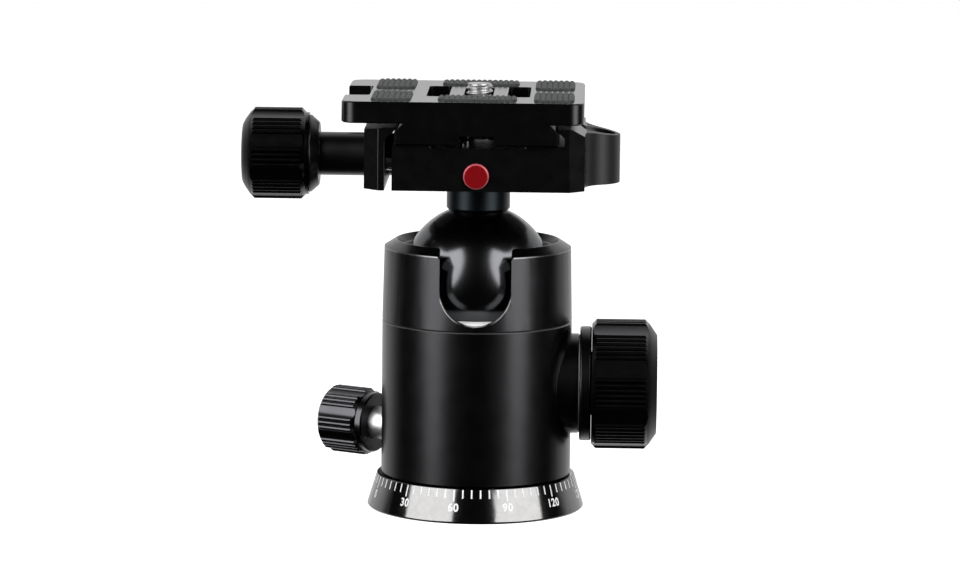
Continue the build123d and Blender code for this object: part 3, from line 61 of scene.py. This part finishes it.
# ---- places taken from the CAD model, in millimetres ------------------------------------------
BASE_LAND = 0.6  # upright band at the foot of the dial's cone
BASE_FLARE = 2.2
BASE_EDGE = 0.15
base_high = box_mm("base_ring")[1]
CONE_FOOT = (base_high.x, BASE_LAND)  # radius and height
CONE_TOP = (base_high.x - BASE_FLARE, base_high.z - BASE_EDGE)
screw_low, screw_high = box_mm("camera_screw")
SCREW_HEAD_BOTTOM = screw_low.z
SCREW_TOP = screw_high.z
SCREW_HEAD_RADIUS = screw_high.x
SCREW_HEAD_HEIGHT = 2.3
SCREW_HEAD_TOP = SCREW_HEAD_BOTTOM + SCREW_HEAD_HEIGHT
SCREW_RADIUS = 3.175  # 1/4 in thread
SCREW_PITCH = 1.27  # 20 threads to the inch


# ---- shader nodes -----------------------------------------------------------------------------
def mapped(tree, value, low, high, start, end):
    """Value taken from one range to another and clamped, as a new socket."""
    node = tree.nodes.new("ShaderNodeMapRange")
    node.inputs["From Min"].default_value = low
    node.inputs["From Max"].default_value = high
    node.inputs["To Min"].default_value = start
    node.inputs["To Max"].default_value = end
    tree.links.new(value, node.inputs["Value"])
    return node.outputs["Result"]


def product(tree, first, second):
    """Product of two sockets."""
    node = tree.nodes.new("ShaderNodeMath")
    node.operation = "MULTIPLY"
    tree.links.new(first, node.inputs[0])
    tree.links.new(second, node.inputs[1])
    return node.outputs["Value"]


def band(tree, value, low, high, soft=0.04):
    """1 where a socket in metres lies between two sizes in mm and 0 elsewhere, with soft ends."""
    rise = mapped(tree, value, (low - soft) * MM, (low + soft) * MM, 0, 1)
    fall = mapped(tree, value, (high - soft) * MM, (high + soft) * MM, 1, 0)
    return product(tree, rise, fall)


# data type of a mix, its sockets for the lower and the upper value, and its result's socket
MIX_SOCKETS = {"Base Color": ("RGBA", 6, 7, 2), "Roughness": ("FLOAT", 2, 3, 0)}


def overlay(tree, share, color, roughness):
    """Another colour and roughness on the finish where the share is 1."""
    shader = tree.nodes["Principled BSDF"]
    for name, value in (("Base Color", (*color, 1)), ("Roughness", roughness)):
        mix = tree.nodes.new("ShaderNodeMix")
        mix.data_type, below, above, result = MIX_SOCKETS[name]
        tree.links.new(shader.inputs[name].links[0].from_socket, mix.inputs[below])
        mix.inputs[above].default_value = value
        tree.links.new(share, mix.inputs[0])
        tree.links.new(mix.outputs[result], shader.inputs[name])


def coordinates(tree):
    """X, Y and Z of the piece's own coordinates, as sockets."""
    place = tree.nodes.new("ShaderNodeTexCoord")
    split = tree.nodes.new("ShaderNodeSeparateXYZ")
    tree.links.new(place.outputs["Object"], split.inputs["Vector"])
    return split.outputs


# ---- finishes ---------------------------------------------------------------------------------
NOISE_DETAIL, BUMP_DETAIL = 4, 2
COLOR_SPAN = (0.35, 0.65)  # noise over which a colour goes from its dark to its light end
GLOSS_SPAN = (0.3, 0.7)  # noise over which the roughness rises
FAR = 200.0  # beyond any point of the part, in millimetres


def finish(name, color, roughness, **more):
    """Principled finish whose colour and roughness wander a little, with an optional fine bump.

    more: metallic, specular, spread (share of wander), grain (noise scale), bump (height in mm),
    bump_grain (noise scale of the bump), streaks (noise squashed along X, Y, Z).
    """
    material = bpy.data.materials.new(name)
    material.use_nodes = True
    tree = material.node_tree
    shader = tree.nodes["Principled BSDF"]
    shader.inputs["Metallic"].default_value = more.get("metallic", 0.0)
    shader.inputs["Specular IOR Level"].default_value = more.get("specular", 0.5)
    place = tree.nodes.new("ShaderNodeTexCoord")
    squash = tree.nodes.new("ShaderNodeMapping")
    squash.inputs["Scale"].default_value = more.get("streaks", (1, 1, 1))
    tree.links.new(place.outputs["Object"], squash.inputs["Vector"])
    noise = tree.nodes.new("ShaderNodeTexNoise")
    noise.inputs["Scale"].default_value = more.get("grain", 700)
    noise.inputs["Detail"].default_value = NOISE_DETAIL
    tree.links.new(squash.outputs["Vector"], noise.inputs["Vector"])
    spread = more.get("spread", 0.12)
    ramp = tree.nodes.new("ShaderNodeValToRGB")
    for stop, share in zip(ramp.color_ramp.elements, (1 - spread, 1 + spread)):
        stop.color = [min(1, c * share) for c in color] + [1]
    ramp.color_ramp.elements[0].position, ramp.color_ramp.elements[1].position = COLOR_SPAN
    tree.links.new(noise.outputs["Fac"], ramp.inputs["Fac"])
    tree.links.new(ramp.outputs["Color"], shader.inputs["Base Color"])
    smooth, rough = roughness * (1 - spread), roughness * (1 + spread)
    gloss = mapped(tree, noise.outputs["Fac"], *GLOSS_SPAN, smooth, rough)
    tree.links.new(gloss, shader.inputs["Roughness"])
    if more.get("bump"):
        fine = tree.nodes.new("ShaderNodeTexNoise")
        fine.inputs["Scale"].default_value = more.get("bump_grain", 3000)
        fine.inputs["Detail"].default_value = BUMP_DETAIL
        tree.links.new(squash.outputs["Vector"], fine.inputs["Vector"])
        bump = tree.nodes.new("ShaderNodeBump")
        bump.inputs["Distance"].default_value = more["bump"] * MM
        tree.links.new(fine.outputs["Fac"], bump.inputs["Height"])
        tree.links.new(bump.outputs["Normal"], shader.inputs["Normal"])
    return material


def zone(material, axis, low, high, color, roughness):
    """Another colour and roughness between two sizes in mm along one axis of the piece."""
    tree = material.node_tree
    overlay(tree, band(tree, coordinates(tree)[axis], low, high), color, roughness)


def ring_zone(material, height, inner, outer, color, roughness, limits=(0, FAR)):
    """Painted highlight, another colour and roughness on a ring about an axis along Y, on the part's front
    only.

    limits: lowest and highest place in mm where the ring is coloured.
    """
    tree = material.node_tree
    x, y, z = coordinates(tree)
    flat = tree.nodes.new("ShaderNodeCombineXYZ")
    tree.links.new(x, flat.inputs["X"])
    tree.links.new(z, flat.inputs["Z"])
    reach = tree.nodes.new("ShaderNodeVectorMath")
    reach.operation = "DISTANCE"
    reach.inputs[1].default_value = (0, 0, height * MM)
    tree.links.new(flat.outputs["Vector"], reach.inputs[0])
    ring = band(tree, reach.outputs["Value"], inner, outer)
    front = band(tree, y, -FAR, 0)
    between = band(tree, z, *limits, soft=0.5)
    overlay(tree, product(tree, product(tree, ring, front), between), color, roughness)


BLASTED = finish("blasted_black", (0.04, 0.04, 0.042), 0.26, metallic=1, spread=0.05, grain=250)
# copy of the blasted finish that carries the collar's painted highlights
COLLAR = finish("blasted_collar", (0.04, 0.04, 0.042), 0.26, metallic=1, spread=0.05, grain=250)
CLAMP = finish("satin_clamp_black", (0.04, 0.04, 0.042), 0.28, metallic=1, spread=0.05, grain=300)
PLATE = finish("satin_plate_black", (0.04, 0.04, 0.042), 0.26, metallic=1, spread=0.05, grain=300)
FLANGE = finish("knob_flange_black", (0.05, 0.05, 0.053), 0.25, metallic=1, spread=0.05, grain=300)
GLOSSY = finish("glossy_black", (0.175, 0.173, 0.172), 0.12, metallic=1, spread=0.05)
GRIP = finish("grip_black", (0.06, 0.06, 0.064), 0.2, metallic=1, spread=0.05, grain=300)
# copies of the grip finish that carry painted shade on the ends of the two large knobs
LOCK_GRIP = finish("lock_grip_black", (0.06, 0.06, 0.064), 0.2, metallic=1, spread=0.05, grain=300)
CLAMP_GRIP = finish("clamp_grip_black", (0.05, 0.05, 0.053), 0.2, metallic=1, spread=0.05, grain=300)
POLISHED = finish("polished_ball", (0.095, 0.097, 0.102), 0.19, metallic=1, spread=0.03, grain=200)
STEEL = finish(
    "turned_steel", (0.62, 0.61, 0.60), 0.24, metallic=1, streaks=(1, 1, 6), grain=900, spread=0.15
)
SCREW_STEEL = finish("screw_steel", (0.55, 0.55, 0.55), 0.4, metallic=1, grain=900, spread=0.06)
DARK_STEEL = finish("blackened_steel", (0.06, 0.06, 0.063), 0.3, metallic=1, spread=0.04, grain=200)
BRASS = finish("turned_brass", (0.72, 0.55, 0.25), 0.28, metallic=1, spread=0.15)
ACETAL = finish("acetal", (0.90, 0.90, 0.87), 0.45, spread=0.04)
BLACK_ACETAL = finish("black_acetal", (0.006, 0.006, 0.007), 0.5, specular=0.0, spread=0.08)
BRIGHT_STEEL = finish("bright_steel", (0.86, 0.86, 0.86), 0.42, metallic=1, spread=0.06)
ALUMINIUM = finish("turned_aluminium", (0.6, 0.6, 0.61), 0.35, metallic=1, spread=0.12)
RUBBER = finish(
    "pad_rubber", (0.037, 0.042, 0.04), 0.6, specular=0.3, bump=0.02, bump_grain=1800, spread=0.12
)
RED = finish("red_anodised", (0.23, 0.0015, 0.004), 0.3, metallic=0.3, spread=0.05)
PRINT = finish("dial_print", (0.82, 0.82, 0.82), 0.5, spread=0.03)
CLEAR = finish("clear_acrylic", (0.96, 0.98, 0.96), 0.04, spread=0.02)
CLEAR.node_tree.nodes["Principled BSDF"].inputs["Transmission Weight"].default_value = 1.0
CLEAR.node_tree.nodes["Principled BSDF"].inputs["IOR"].default_value = 1.49
LIQUID = finish("level_liquid", (0.45, 0.72, 0.06), 0.05, spread=0.04)
LIQUID.node_tree.nodes["Principled BSDF"].inputs["Transmission Weight"].default_value = 0.6

# ---- places with another look, painted highlights and shade among them, in millimetres --------
X, Z = 0, 2
SKIN = 0.1  # depth of a zone on one flat face
PAST = 1.0  # reach of a zone past the end of its piece
EDGE_GLINT = 0.3  # width of the painted highlight under the bevel, at the seam and round the button
SLOT_GLINT = 0.2  # width of the painted highlight along the slot
LOBE_START = 25.4  # where the level's lobe leaves the clamp
SEAT_NOTCH = 46.5  # height of the floor of the notch in the upper ball seat
NECK_START, NECK_END = 71.3, 90
SLOT_CENTRE = 54.3  # height of the axis of the drop slot's round end
SLOT_RADIUS = 8.35
SLOT_GLINT_LIMITS = (47.0, 52.0)
RIM_HEIGHT = 62.2  # foot of the collar's bevel
SEAM_HEIGHT = 44.75
BUTTON_RADIUS = 2.97
BUTTON_MARGIN = 0.2
GRIP_END = 2.2  # length of a grip's outer end with its chamfer
button_low, button_high = box_mm("release_button")
button_height = (button_low.z + button_high.z) / 2
plate_top = box_mm("quick_release_plate")[1].z
clamp_high = box_mm("clamp_body")[1]
lock_low, lock_high = box_mm("lock_knob")
clamp_knob_low = box_mm("clamp_knob")[0]

# white below the seat's notch; the friction ring shares this finish and is white all over
zone(BLACK_ACETAL, Z, 0, SEAT_NOTCH, (0.95, 0.95, 0.95), 0.5)
# darker, rougher neck
zone(POLISHED, Z, NECK_START, NECK_END, (0.02, 0.024, 0.027), 0.34)
# painted highlights: light lines under the collar's bevel, along the slot, at the seam and round the button
zone(COLLAR, Z, RIM_HEIGHT - EDGE_GLINT, RIM_HEIGHT, (0.2, 0.2, 0.2), 0.3)
ring_zone(
    COLLAR, SLOT_CENTRE, SLOT_RADIUS, SLOT_RADIUS + SLOT_GLINT, (0.4, 0.4, 0.4), 0.5, SLOT_GLINT_LIMITS
)
zone(BLASTED, Z, SEAM_HEIGHT - EDGE_GLINT, SEAM_HEIGHT + SKIN, (0.2, 0.2, 0.2), 0.4)
ring_zone(
    RED, button_height, BUTTON_RADIUS - EDGE_GLINT, BUTTON_RADIUS + BUTTON_MARGIN, (0.6, 0.12, 0.15), 0.3
)
# lighter tops of the plate and the clamp as painted highlight, duller lobe
zone(PLATE, Z, plate_top - SKIN, plate_top + PAST, (0.16, 0.16, 0.16), 0.22)
zone(CLAMP, X, LOBE_START, clamp_high.x + PAST, (0.045, 0.045, 0.046), 0.45)
zone(CLAMP, Z, clamp_high.z - SKIN, clamp_high.z + PAST, (0.2, 0.2, 0.2), 0.28)
# painted shade: darker outer ends of the two large grips and a nearly black inner face of the lock grip
zone(LOCK_GRIP, X, lock_high.x - GRIP_END, lock_high.x + PAST, (0.012, 0.012, 0.013), 0.35)
zone(LOCK_GRIP, X, lock_low.x - PAST, lock_low.x + SKIN, (0.002, 0.002, 0.002), 0.6)
zone(CLAMP_GRIP, X, clamp_knob_low.x - PAST, clamp_knob_low.x + GRIP_END, (0.01, 0.01, 0.011), 0.35)

FINISHES = {
    BLASTED: ["lower_housing"],
    COLLAR: ["ball_collar"],
    CLAMP: ["clamp_body", "moving_jaw"],
    PLATE: ["quick_release_plate"],
    GLOSSY: ["base_ring"],
    FLANGE: ["lock_knob_hub", "friction_dial"],
    GRIP: ["pan_knob"],
    LOCK_GRIP: ["lock_knob"],
    CLAMP_GRIP: ["clamp_knob"],
    POLISHED: ["ball"],
    STEEL: [
        "pan_spindle", "spindle_screws", "tripod_bushing", "pan_knob_screw",
        "lock_shaft", "clamp_bolt", "jaw_guide_pins", "jaw_retaining_clip", "captive_washer",
        "lock_wedge", "spindle_ring_nut", "button_spring",
    ],
    SCREW_STEEL: ["camera_screw"],
    DARK_STEEL: ["clamp_screw", "plate_stop_dowel", "stop_pin", "plate_safety_screws"],
    BRASS: ["lock_bushing", "pan_bushing"],
    BRIGHT_STEEL: ["pan_lock_shaft"],
    ACETAL: ["lower_ball_seat", "pan_thrust_washer", "pan_brake_shoe"],
    BLACK_ACETAL: ["upper_ball_seat"],
    ALUMINIUM: ["seat_lifter"],
    RUBBER: ["side_rubber_pads", "middle_rubber_pads"],
    RED: ["release_button"],
    CLEAR: ["level_vial"],
    LIQUID: ["level_fluid"],
}


WELD_DISTANCE = 1e-6  # in metres
FLAT, SHARP = radians(0.5), radians(30)  # angles between faces


def dress(node, material, width=0.0):
    """Gives a CAD node its finish, smooth shading and, with a width in mm, softly broken edges."""
    obj = nodes[node]
    obj.data.materials.clear()
    obj.data.materials.append(material)
    for polygon in obj.data.polygons:
        polygon.use_smooth = True
    weld = obj.modifiers.new("weld", "WELD")
    weld.merge_threshold = WELD_DISTANCE
    if width:
        planar = obj.modifiers.new("planar", "DECIMATE")
        planar.decimate_type = "DISSOLVE"
        planar.angle_limit = FLAT
        bevel = obj.modifiers.new("bevel", "BEVEL")
        bevel.width = width * MM
        bevel.segments = 2
        bevel.limit_method = "ANGLE"
        bevel.angle_limit = SHARP
        bevel.harden_normals = False
    else:
        split = obj.modifiers.new("split", "EDGE_SPLIT")
        split.split_angle = SHARP
        split.use_edge_sharp = False
    normals = obj.modifiers.new("normals", "WEIGHTED_NORMAL")
    normals.keep_sharp = False
    normals.mode = "FACE_AREA"
    normals.weight = 100


# width in mm over which a node's edges are broken
EDGES = {
    "clamp_body": 0.22,
    "moving_jaw": 0.22,
    "quick_release_plate": 0.12,
    "ball_collar": 0.12,
    "lower_housing": 0.12,
    "base_ring": 0.1,
    "lock_knob_hub": 0.1,
    "clamp_screw": 0.15,
}
for material, members in FINISHES.items():
    for member in members:
        dress(member, material, EDGES.get(member, 0.0))


# ---- mesh helpers -----------------------------------------------------------------------------
def piece(name, points, faces, material, body, smooth=True):
    """A new mesh object from points in millimetres, riding on a CAD body."""
    mesh = bpy.data.meshes.new(name)
    mesh.from_pydata([Vector(p) * MM for p in points], [], faces)
    mesh.materials.append(material)
    for polygon in mesh.polygons:
        polygon.use_smooth = smooth
    mesh.update()
    obj = bpy.data.objects.new(name, mesh)
    bpy.context.scene.collection.objects.link(obj)
    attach(obj, body)
    return obj


# ---- dial -------------------------------------------------------------------------------------
DIAL_ZERO = -160.6  # direction of the dial's zero, counter-clockwise from +X
TICK_STEP = 5
NUMBER_STEP = 30
TICK_START = 0.05  # top of the ticks below the cone's top edge
TICK_LENGTH = 2.05
LONG_TICK_LENGTH = 2.8
TICK_WIDTH = 0.36
DIGIT_HEIGHT = 1.9
DIGIT_SHARE = 0.72  # height of a figure as a share of the font's size
DIGIT_WEIGHT = 0.075  # by which the figures are made bolder all round
DIGIT_SPACING = 1.12
DIGIT_STEPS = 5  # steps of a figure's curves
DIGIT_SQUEEZE = 0.9  # width of the figures against the font's own
DIGIT_TOP = 3.2  # top of the digits below the cone's top edge
PRINT_LIFT = 0.03


def on_cone(azimuth, down, lift=PRINT_LIFT):
    """Point on the dial's cone: azimuth in degrees, slant distance in mm below its top edge."""
    fall = CONE_TOP[1] - CONE_FOOT[1]
    flare = CONE_FOOT[0] - CONE_TOP[0]
    slant = hypot(fall, flare)
    radius = CONE_TOP[0] + flare * down / slant + lift * fall / slant
    height = CONE_TOP[1] - fall * down / slant + lift * flare / slant
    angle = radians(azimuth)
    return (radius * cos(angle), radius * sin(angle), height)


def digit_mesh(text):
    """Flat mesh of a number in bold sans figures, centred on X, its top at Y = 0."""
    curve = bpy.data.curves.new("figures", "FONT")
    curve.body = text
    curve.size = DIGIT_HEIGHT / DIGIT_SHARE
    curve.align_x = "CENTER"
    curve.offset = DIGIT_WEIGHT
    curve.space_character = DIGIT_SPACING
    curve.resolution_u = DIGIT_STEPS
    obj = bpy.data.objects.new("figures", curve)
    bpy.context.scene.collection.objects.link(obj)
    bpy.context.view_layer.update()
    mesh = bpy.data.meshes.new_from_object(obj)
    bpy.data.objects.remove(obj)
    bpy.data.curves.remove(curve)
    top = max(v.co.y for v in mesh.vertices)
    points = [(v.co.x * DIGIT_SQUEEZE, v.co.y - top) for v in mesh.vertices]
    faces = [tuple(p.vertices) for p in mesh.polygons]
    bpy.data.meshes.remove(mesh)
    return points, faces


def dial_marks():
    """White ticks and numbers printed on the base's cone."""
    points, faces = [], []
    middle_radius = (CONE_TOP[0] + CONE_FOOT[0]) / 2
    for reading in range(0, 360, TICK_STEP):
        azimuth = DIAL_ZERO + reading
        length = LONG_TICK_LENGTH if reading % NUMBER_STEP == 0 else TICK_LENGTH
        half = TICK_WIDTH / 2 / middle_radius * 180 / pi
        start = len(points)
        for down in (TICK_START, length):
            points += [on_cone(azimuth - half, down), on_cone(azimuth + half, down)]
        faces.append((start, start + 2, start + 3, start + 1))
    for reading in range(0, 360, NUMBER_STEP):
        figures, figure_faces = digit_mesh(str(reading))
        start = len(points)
        for x, y in figures:
            points.append(on_cone(DIAL_ZERO + reading + x / middle_radius * 180 / pi, DIGIT_TOP - y))
        faces += [tuple(start + i for i in face) for face in figure_faces]
    return piece("dial_marks", points, faces, PRINT, "base", smooth=False)


dial_marks()


# ---- camera screw -----------------------------------------------------------------------------
SCREW_SIDES = 64
ROWS_PER_TURN = 12
THREAD_DEPTH = 0.55
FLANK_SLOPE, CREST_FLAT = 1.25, 0.12  # of the thread's section
FREE_END_CHAMFER = 0.6
FREE_END_SHARE = 0.9  # radius of the free end's face as a share of the last row's
HEAD_BEVEL, HEAD_EDGE = 0.3, 0.2
POINT = 1e-4  # radius of a circle that closes an end
TINY = 1e-6


def circle(radius, height):
    """Points of a level circle about the screw's axis."""
    turns = [tau * step / SCREW_SIDES for step in range(SCREW_SIDES)]
    return [(radius * cos(turn), radius * sin(turn), height) for turn in turns]


def thread_row(height):
    """Points of the thread's surface at one height; its groove climbs one pitch in a turn."""
    end_limit = SCREW_RADIUS - FREE_END_CHAMFER + (SCREW_TOP - height)
    row = []
    for step in range(SCREW_SIDES):
        turn = step / SCREW_SIDES
        phase = (height / SCREW_PITCH - turn) % 1.0
        groove = 1 - abs(2 * phase - 1)
        radius = SCREW_RADIUS - THREAD_DEPTH * min(1, max(0, FLANK_SLOPE * groove - CREST_FLAT))
        radius = min(radius, end_limit)
        row.append((radius * cos(tau * turn), radius * sin(tau * turn), height))
    return row


def threaded_screw():
    """Camera screw with a plain head below and a rolled 1/4 in thread up to its free end."""
    rows = [
        circle(POINT, SCREW_HEAD_BOTTOM),
        circle(SCREW_HEAD_RADIUS - HEAD_BEVEL, SCREW_HEAD_BOTTOM),
        circle(SCREW_HEAD_RADIUS, SCREW_HEAD_BOTTOM + HEAD_BEVEL),
        circle(SCREW_HEAD_RADIUS, SCREW_HEAD_TOP - HEAD_EDGE),
        circle(SCREW_HEAD_RADIUS - HEAD_EDGE, SCREW_HEAD_TOP),
    ]
    height = SCREW_HEAD_TOP
    while height < SCREW_TOP - TINY:
        rows.append(thread_row(height))
        height += SCREW_PITCH / ROWS_PER_TURN
    rows.append([(FREE_END_SHARE * x, FREE_END_SHARE * y, SCREW_TOP) for x, y, z in rows[-1]])
    rows.append(circle(POINT, SCREW_TOP))
    points = [point for row in rows for point in row]
    faces = []
    for row in range(len(rows) - 1):
        for step in range(SCREW_SIDES):
            a = row * SCREW_SIDES + step
            b = row * SCREW_SIDES + (step + 1) % SCREW_SIDES
            faces.append((a, b, b + SCREW_SIDES, a + SCREW_SIDES))
    obj = piece("threaded_camera_screw", points, faces, SCREW_STEEL, "camera_screw")
    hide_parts("camera_screw")


threaded_screw()


# ---- button's spring --------------------------------------------------------------------------
SPRING_WIRE = 0.28  # radius of the wire
SPRING_COILS = 4
RINGS_PER_COIL, WIRE_SIDES = 24, 8


def coil_spring():
    """Coil behind the button, in the CAD spring's place."""
    low, high = box_mm("button_spring")
    middle = ((low.x + high.x) / 2, (low.z + high.z) / 2)
    radius = (high.x - low.x) / 2 - SPRING_WIRE
    start, length = low.y + SPRING_WIRE, high.y - low.y - 2 * SPRING_WIRE
    rings, around = RINGS_PER_COIL * SPRING_COILS, WIRE_SIDES
    points = []
    for ring in range(rings + 1):
        share = ring / rings
        turn = tau * SPRING_COILS * share
        out = Vector((cos(turn), 0, sin(turn)))
        centre = Vector((middle[0], start + length * share, middle[1])) + radius * out
        for step in range(around):
            angle = tau * step / around
            points.append(centre + SPRING_WIRE * (cos(angle) * out + sin(angle) * Vector((0, 1, 0))))
    faces = [tuple(range(around)), tuple(rings * around + around - 1 - i for i in range(around))]
    for ring in range(rings):
        for step in range(around):
            a, b = ring * around + step, ring * around + (step + 1) % around
            faces.append((a, a + around, b + around, b))
    obj = piece("coil_spring", points, faces, STEEL, "clamp")
    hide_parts("button_spring")
    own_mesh(obj)


coil_spring()


# ---- lock knob's friction ring ----------------------------------------------------------------
RING_BORE, RING_RADIUS, RING_THICKNESS = 7.0, 11.6, 0.28
RING_SIDES = 72


def friction_ring():
    """Plain ring between the housing's boss and the knob's flange, in the ball seat's finish."""
    around = RING_SIDES
    hub_low, hub_high = box_mm("lock_knob_hub")
    flange = hub_low.x
    height = (hub_low.z + hub_high.z) / 2
    boss = flange - RING_THICKNESS
    section = [(flange, RING_BORE), (boss, RING_BORE), (boss, RING_RADIUS), (flange, RING_RADIUS)]
    points = []
    for x, radius in section:
        for step in range(around):
            turn = tau * step / around
            points.append((x, radius * cos(turn), height + radius * sin(turn)))
    faces = []
    for row in range(len(section)):
        below, above = row * around, (row + 1) % len(section) * around
        for step in range(around):
            after = (step + 1) % around
            faces.append((below + step, below + after, above + after, above + step))
    return piece("lock_friction_ring", points, faces, BLACK_ACETAL, "lock_knob")


friction_ring()


# ---- studio -----------------------------------------------------------------------------------
ROOM_SPAN = (0.2, 0.65)  # share of the direction along +Y over which the room turns bright
ROOM_DIM, ROOM_BRIGHT = 0.01, 1.0
SOFTBOX_AZIMUTH, SOFTBOX_ELEVATION = 52, 22
SOFTBOX_DISTANCE = 1.1
SOFTBOX_SIZE = (1.08, 1.42)
SOFTBOX_RADIANCE = 4.2  # brightness of its face
SOFTBOX_AIM = Vector((0, 0, 0.055))
FLOOR_HALF = 3.0
FLOOR_GLOW, FLOOR_GREY = 0.75, 0.8


def direction(azimuth, elevation):
    """Unit vector from the part towards a place in front of it, from angles in degrees."""
    turn, lift = radians(azimuth), radians(elevation)
    return Vector((sin(turn) * cos(lift), -cos(turn) * cos(lift), sin(lift)))


def ray_switch(tree, for_camera, for_others):
    """Shader that camera rays see as one thing and all other rays as another."""
    rays = tree.nodes.new("ShaderNodeLightPath")
    mix = tree.nodes.new("ShaderNodeMixShader")
    tree.links.new(rays.outputs["Is Camera Ray"], mix.inputs["Fac"])
    tree.links.new(for_others, mix.inputs[1])
    tree.links.new(for_camera, mix.inputs[2])
    return mix.outputs["Shader"]


def studio_world():
    """White behind the part for the camera; reflections see a bright back and a dim front."""
    world = bpy.data.worlds.new("studio")
    bpy.context.scene.world = world
    world.use_nodes = True
    tree = world.node_tree
    tree.nodes.clear()
    white = tree.nodes.new("ShaderNodeBackground")
    white.inputs["Color"].default_value = (1, 1, 1, 1)
    room = tree.nodes.new("ShaderNodeBackground")
    place = tree.nodes.new("ShaderNodeTexCoord")
    split = tree.nodes.new("ShaderNodeSeparateXYZ")
    tree.links.new(place.outputs["Generated"], split.inputs["Vector"])
    ramp = tree.nodes.new("ShaderNodeMapRange")
    ramp.interpolation_type = "SMOOTHSTEP"
    ramp.inputs["From Min"].default_value, ramp.inputs["From Max"].default_value = ROOM_SPAN
    ramp.inputs["To Min"].default_value = ROOM_DIM
    ramp.inputs["To Max"].default_value = ROOM_BRIGHT
    tree.links.new(split.outputs["Y"], ramp.inputs["Value"])
    tree.links.new(ramp.outputs["Result"], room.inputs["Strength"])
    output = tree.nodes.new("ShaderNodeOutputWorld")
    both = ray_switch(tree, white.outputs["Background"], room.outputs["Background"])
    tree.links.new(both, output.inputs["Surface"])


def softbox(name, azimuth):
    """Elliptical area light aimed at the part from one side."""
    width, height = SOFTBOX_SIZE
    light = bpy.data.lights.new(name, "AREA")
    light.shape = "ELLIPSE"
    light.size, light.size_y = width, height
    light.energy = SOFTBOX_RADIANCE * pi * (pi / 4) * width * height
    obj = bpy.data.objects.new(name, light)
    bpy.context.scene.collection.objects.link(obj)
    away = direction(azimuth, SOFTBOX_ELEVATION)
    obj.location = SOFTBOX_AIM + SOFTBOX_DISTANCE * away
    obj.rotation_euler = (-away).to_track_quat("-Z", "Y").to_euler()


def studio_floor():
    """Pale floor for the camera, with a faint contact shadow; all other rays pass through it."""
    half = FLOOR_HALF
    mesh = bpy.data.meshes.new("floor")
    mesh.from_pydata(
        [(-half, -half, 0), (half, -half, 0), (half, half, 0), (-half, half, 0)], [], [(0, 1, 2, 3)]
    )
    floor = bpy.data.objects.new("floor", mesh)
    bpy.context.scene.collection.objects.link(floor)
    material = bpy.data.materials.new("floor")
    material.use_nodes = True
    tree = material.node_tree
    tree.nodes.clear()
    glow = tree.nodes.new("ShaderNodeEmission")
    glow.inputs["Strength"].default_value = FLOOR_GLOW
    matt = tree.nodes.new("ShaderNodeBsdfDiffuse")
    matt.inputs["Color"].default_value = (FLOOR_GREY, FLOOR_GREY, FLOOR_GREY, 1)
    seen = tree.nodes.new("ShaderNodeAddShader")
    tree.links.new(glow.outputs["Emission"], seen.inputs[0])
    tree.links.new(matt.outputs["BSDF"], seen.inputs[1])
    away = tree.nodes.new("ShaderNodeBsdfTransparent")
    output = tree.nodes.new("ShaderNodeOutputMaterial")
    both = ray_switch(tree, seen.outputs["Shader"], away.outputs["BSDF"])
    tree.links.new(both, output.inputs["Surface"])
    mesh.materials.append(material)


studio_world()
for side, azimuth in (("left", -SOFTBOX_AZIMUTH), ("right", SOFTBOX_AZIMUTH)):
    softbox(side + "_softbox", azimuth)
studio_floor()


# ---- camera -----------------------------------------------------------------------------------
def photo_camera():
    """Camera at the photograph's place."""
    target = Vector((0.6, 0.0, 52.7)) * MM
    azimuth, elevation, roll = 1.4, 8.2, 0.6
    distance = 1.1
    data = bpy.data.cameras.new("camera")
    data.lens = 174.0
    data.sensor_width = 36
    data.clip_start = 0.05
    data.clip_end = 20
    obj = bpy.data.objects.new("camera", data)
    bpy.context.scene.collection.objects.link(obj)
    away = direction(azimuth, elevation)
    obj.location = target + distance * away
    turned = (-away).to_track_quat("-Z", "Y").to_matrix() @ Matrix.Rotation(radians(roll), 3, "Z")
    obj.rotation_euler = turned.to_euler()
    bpy.context.scene.camera = obj


photo_camera()
bpy.context.scene.view_settings.view_transform = "Standard"
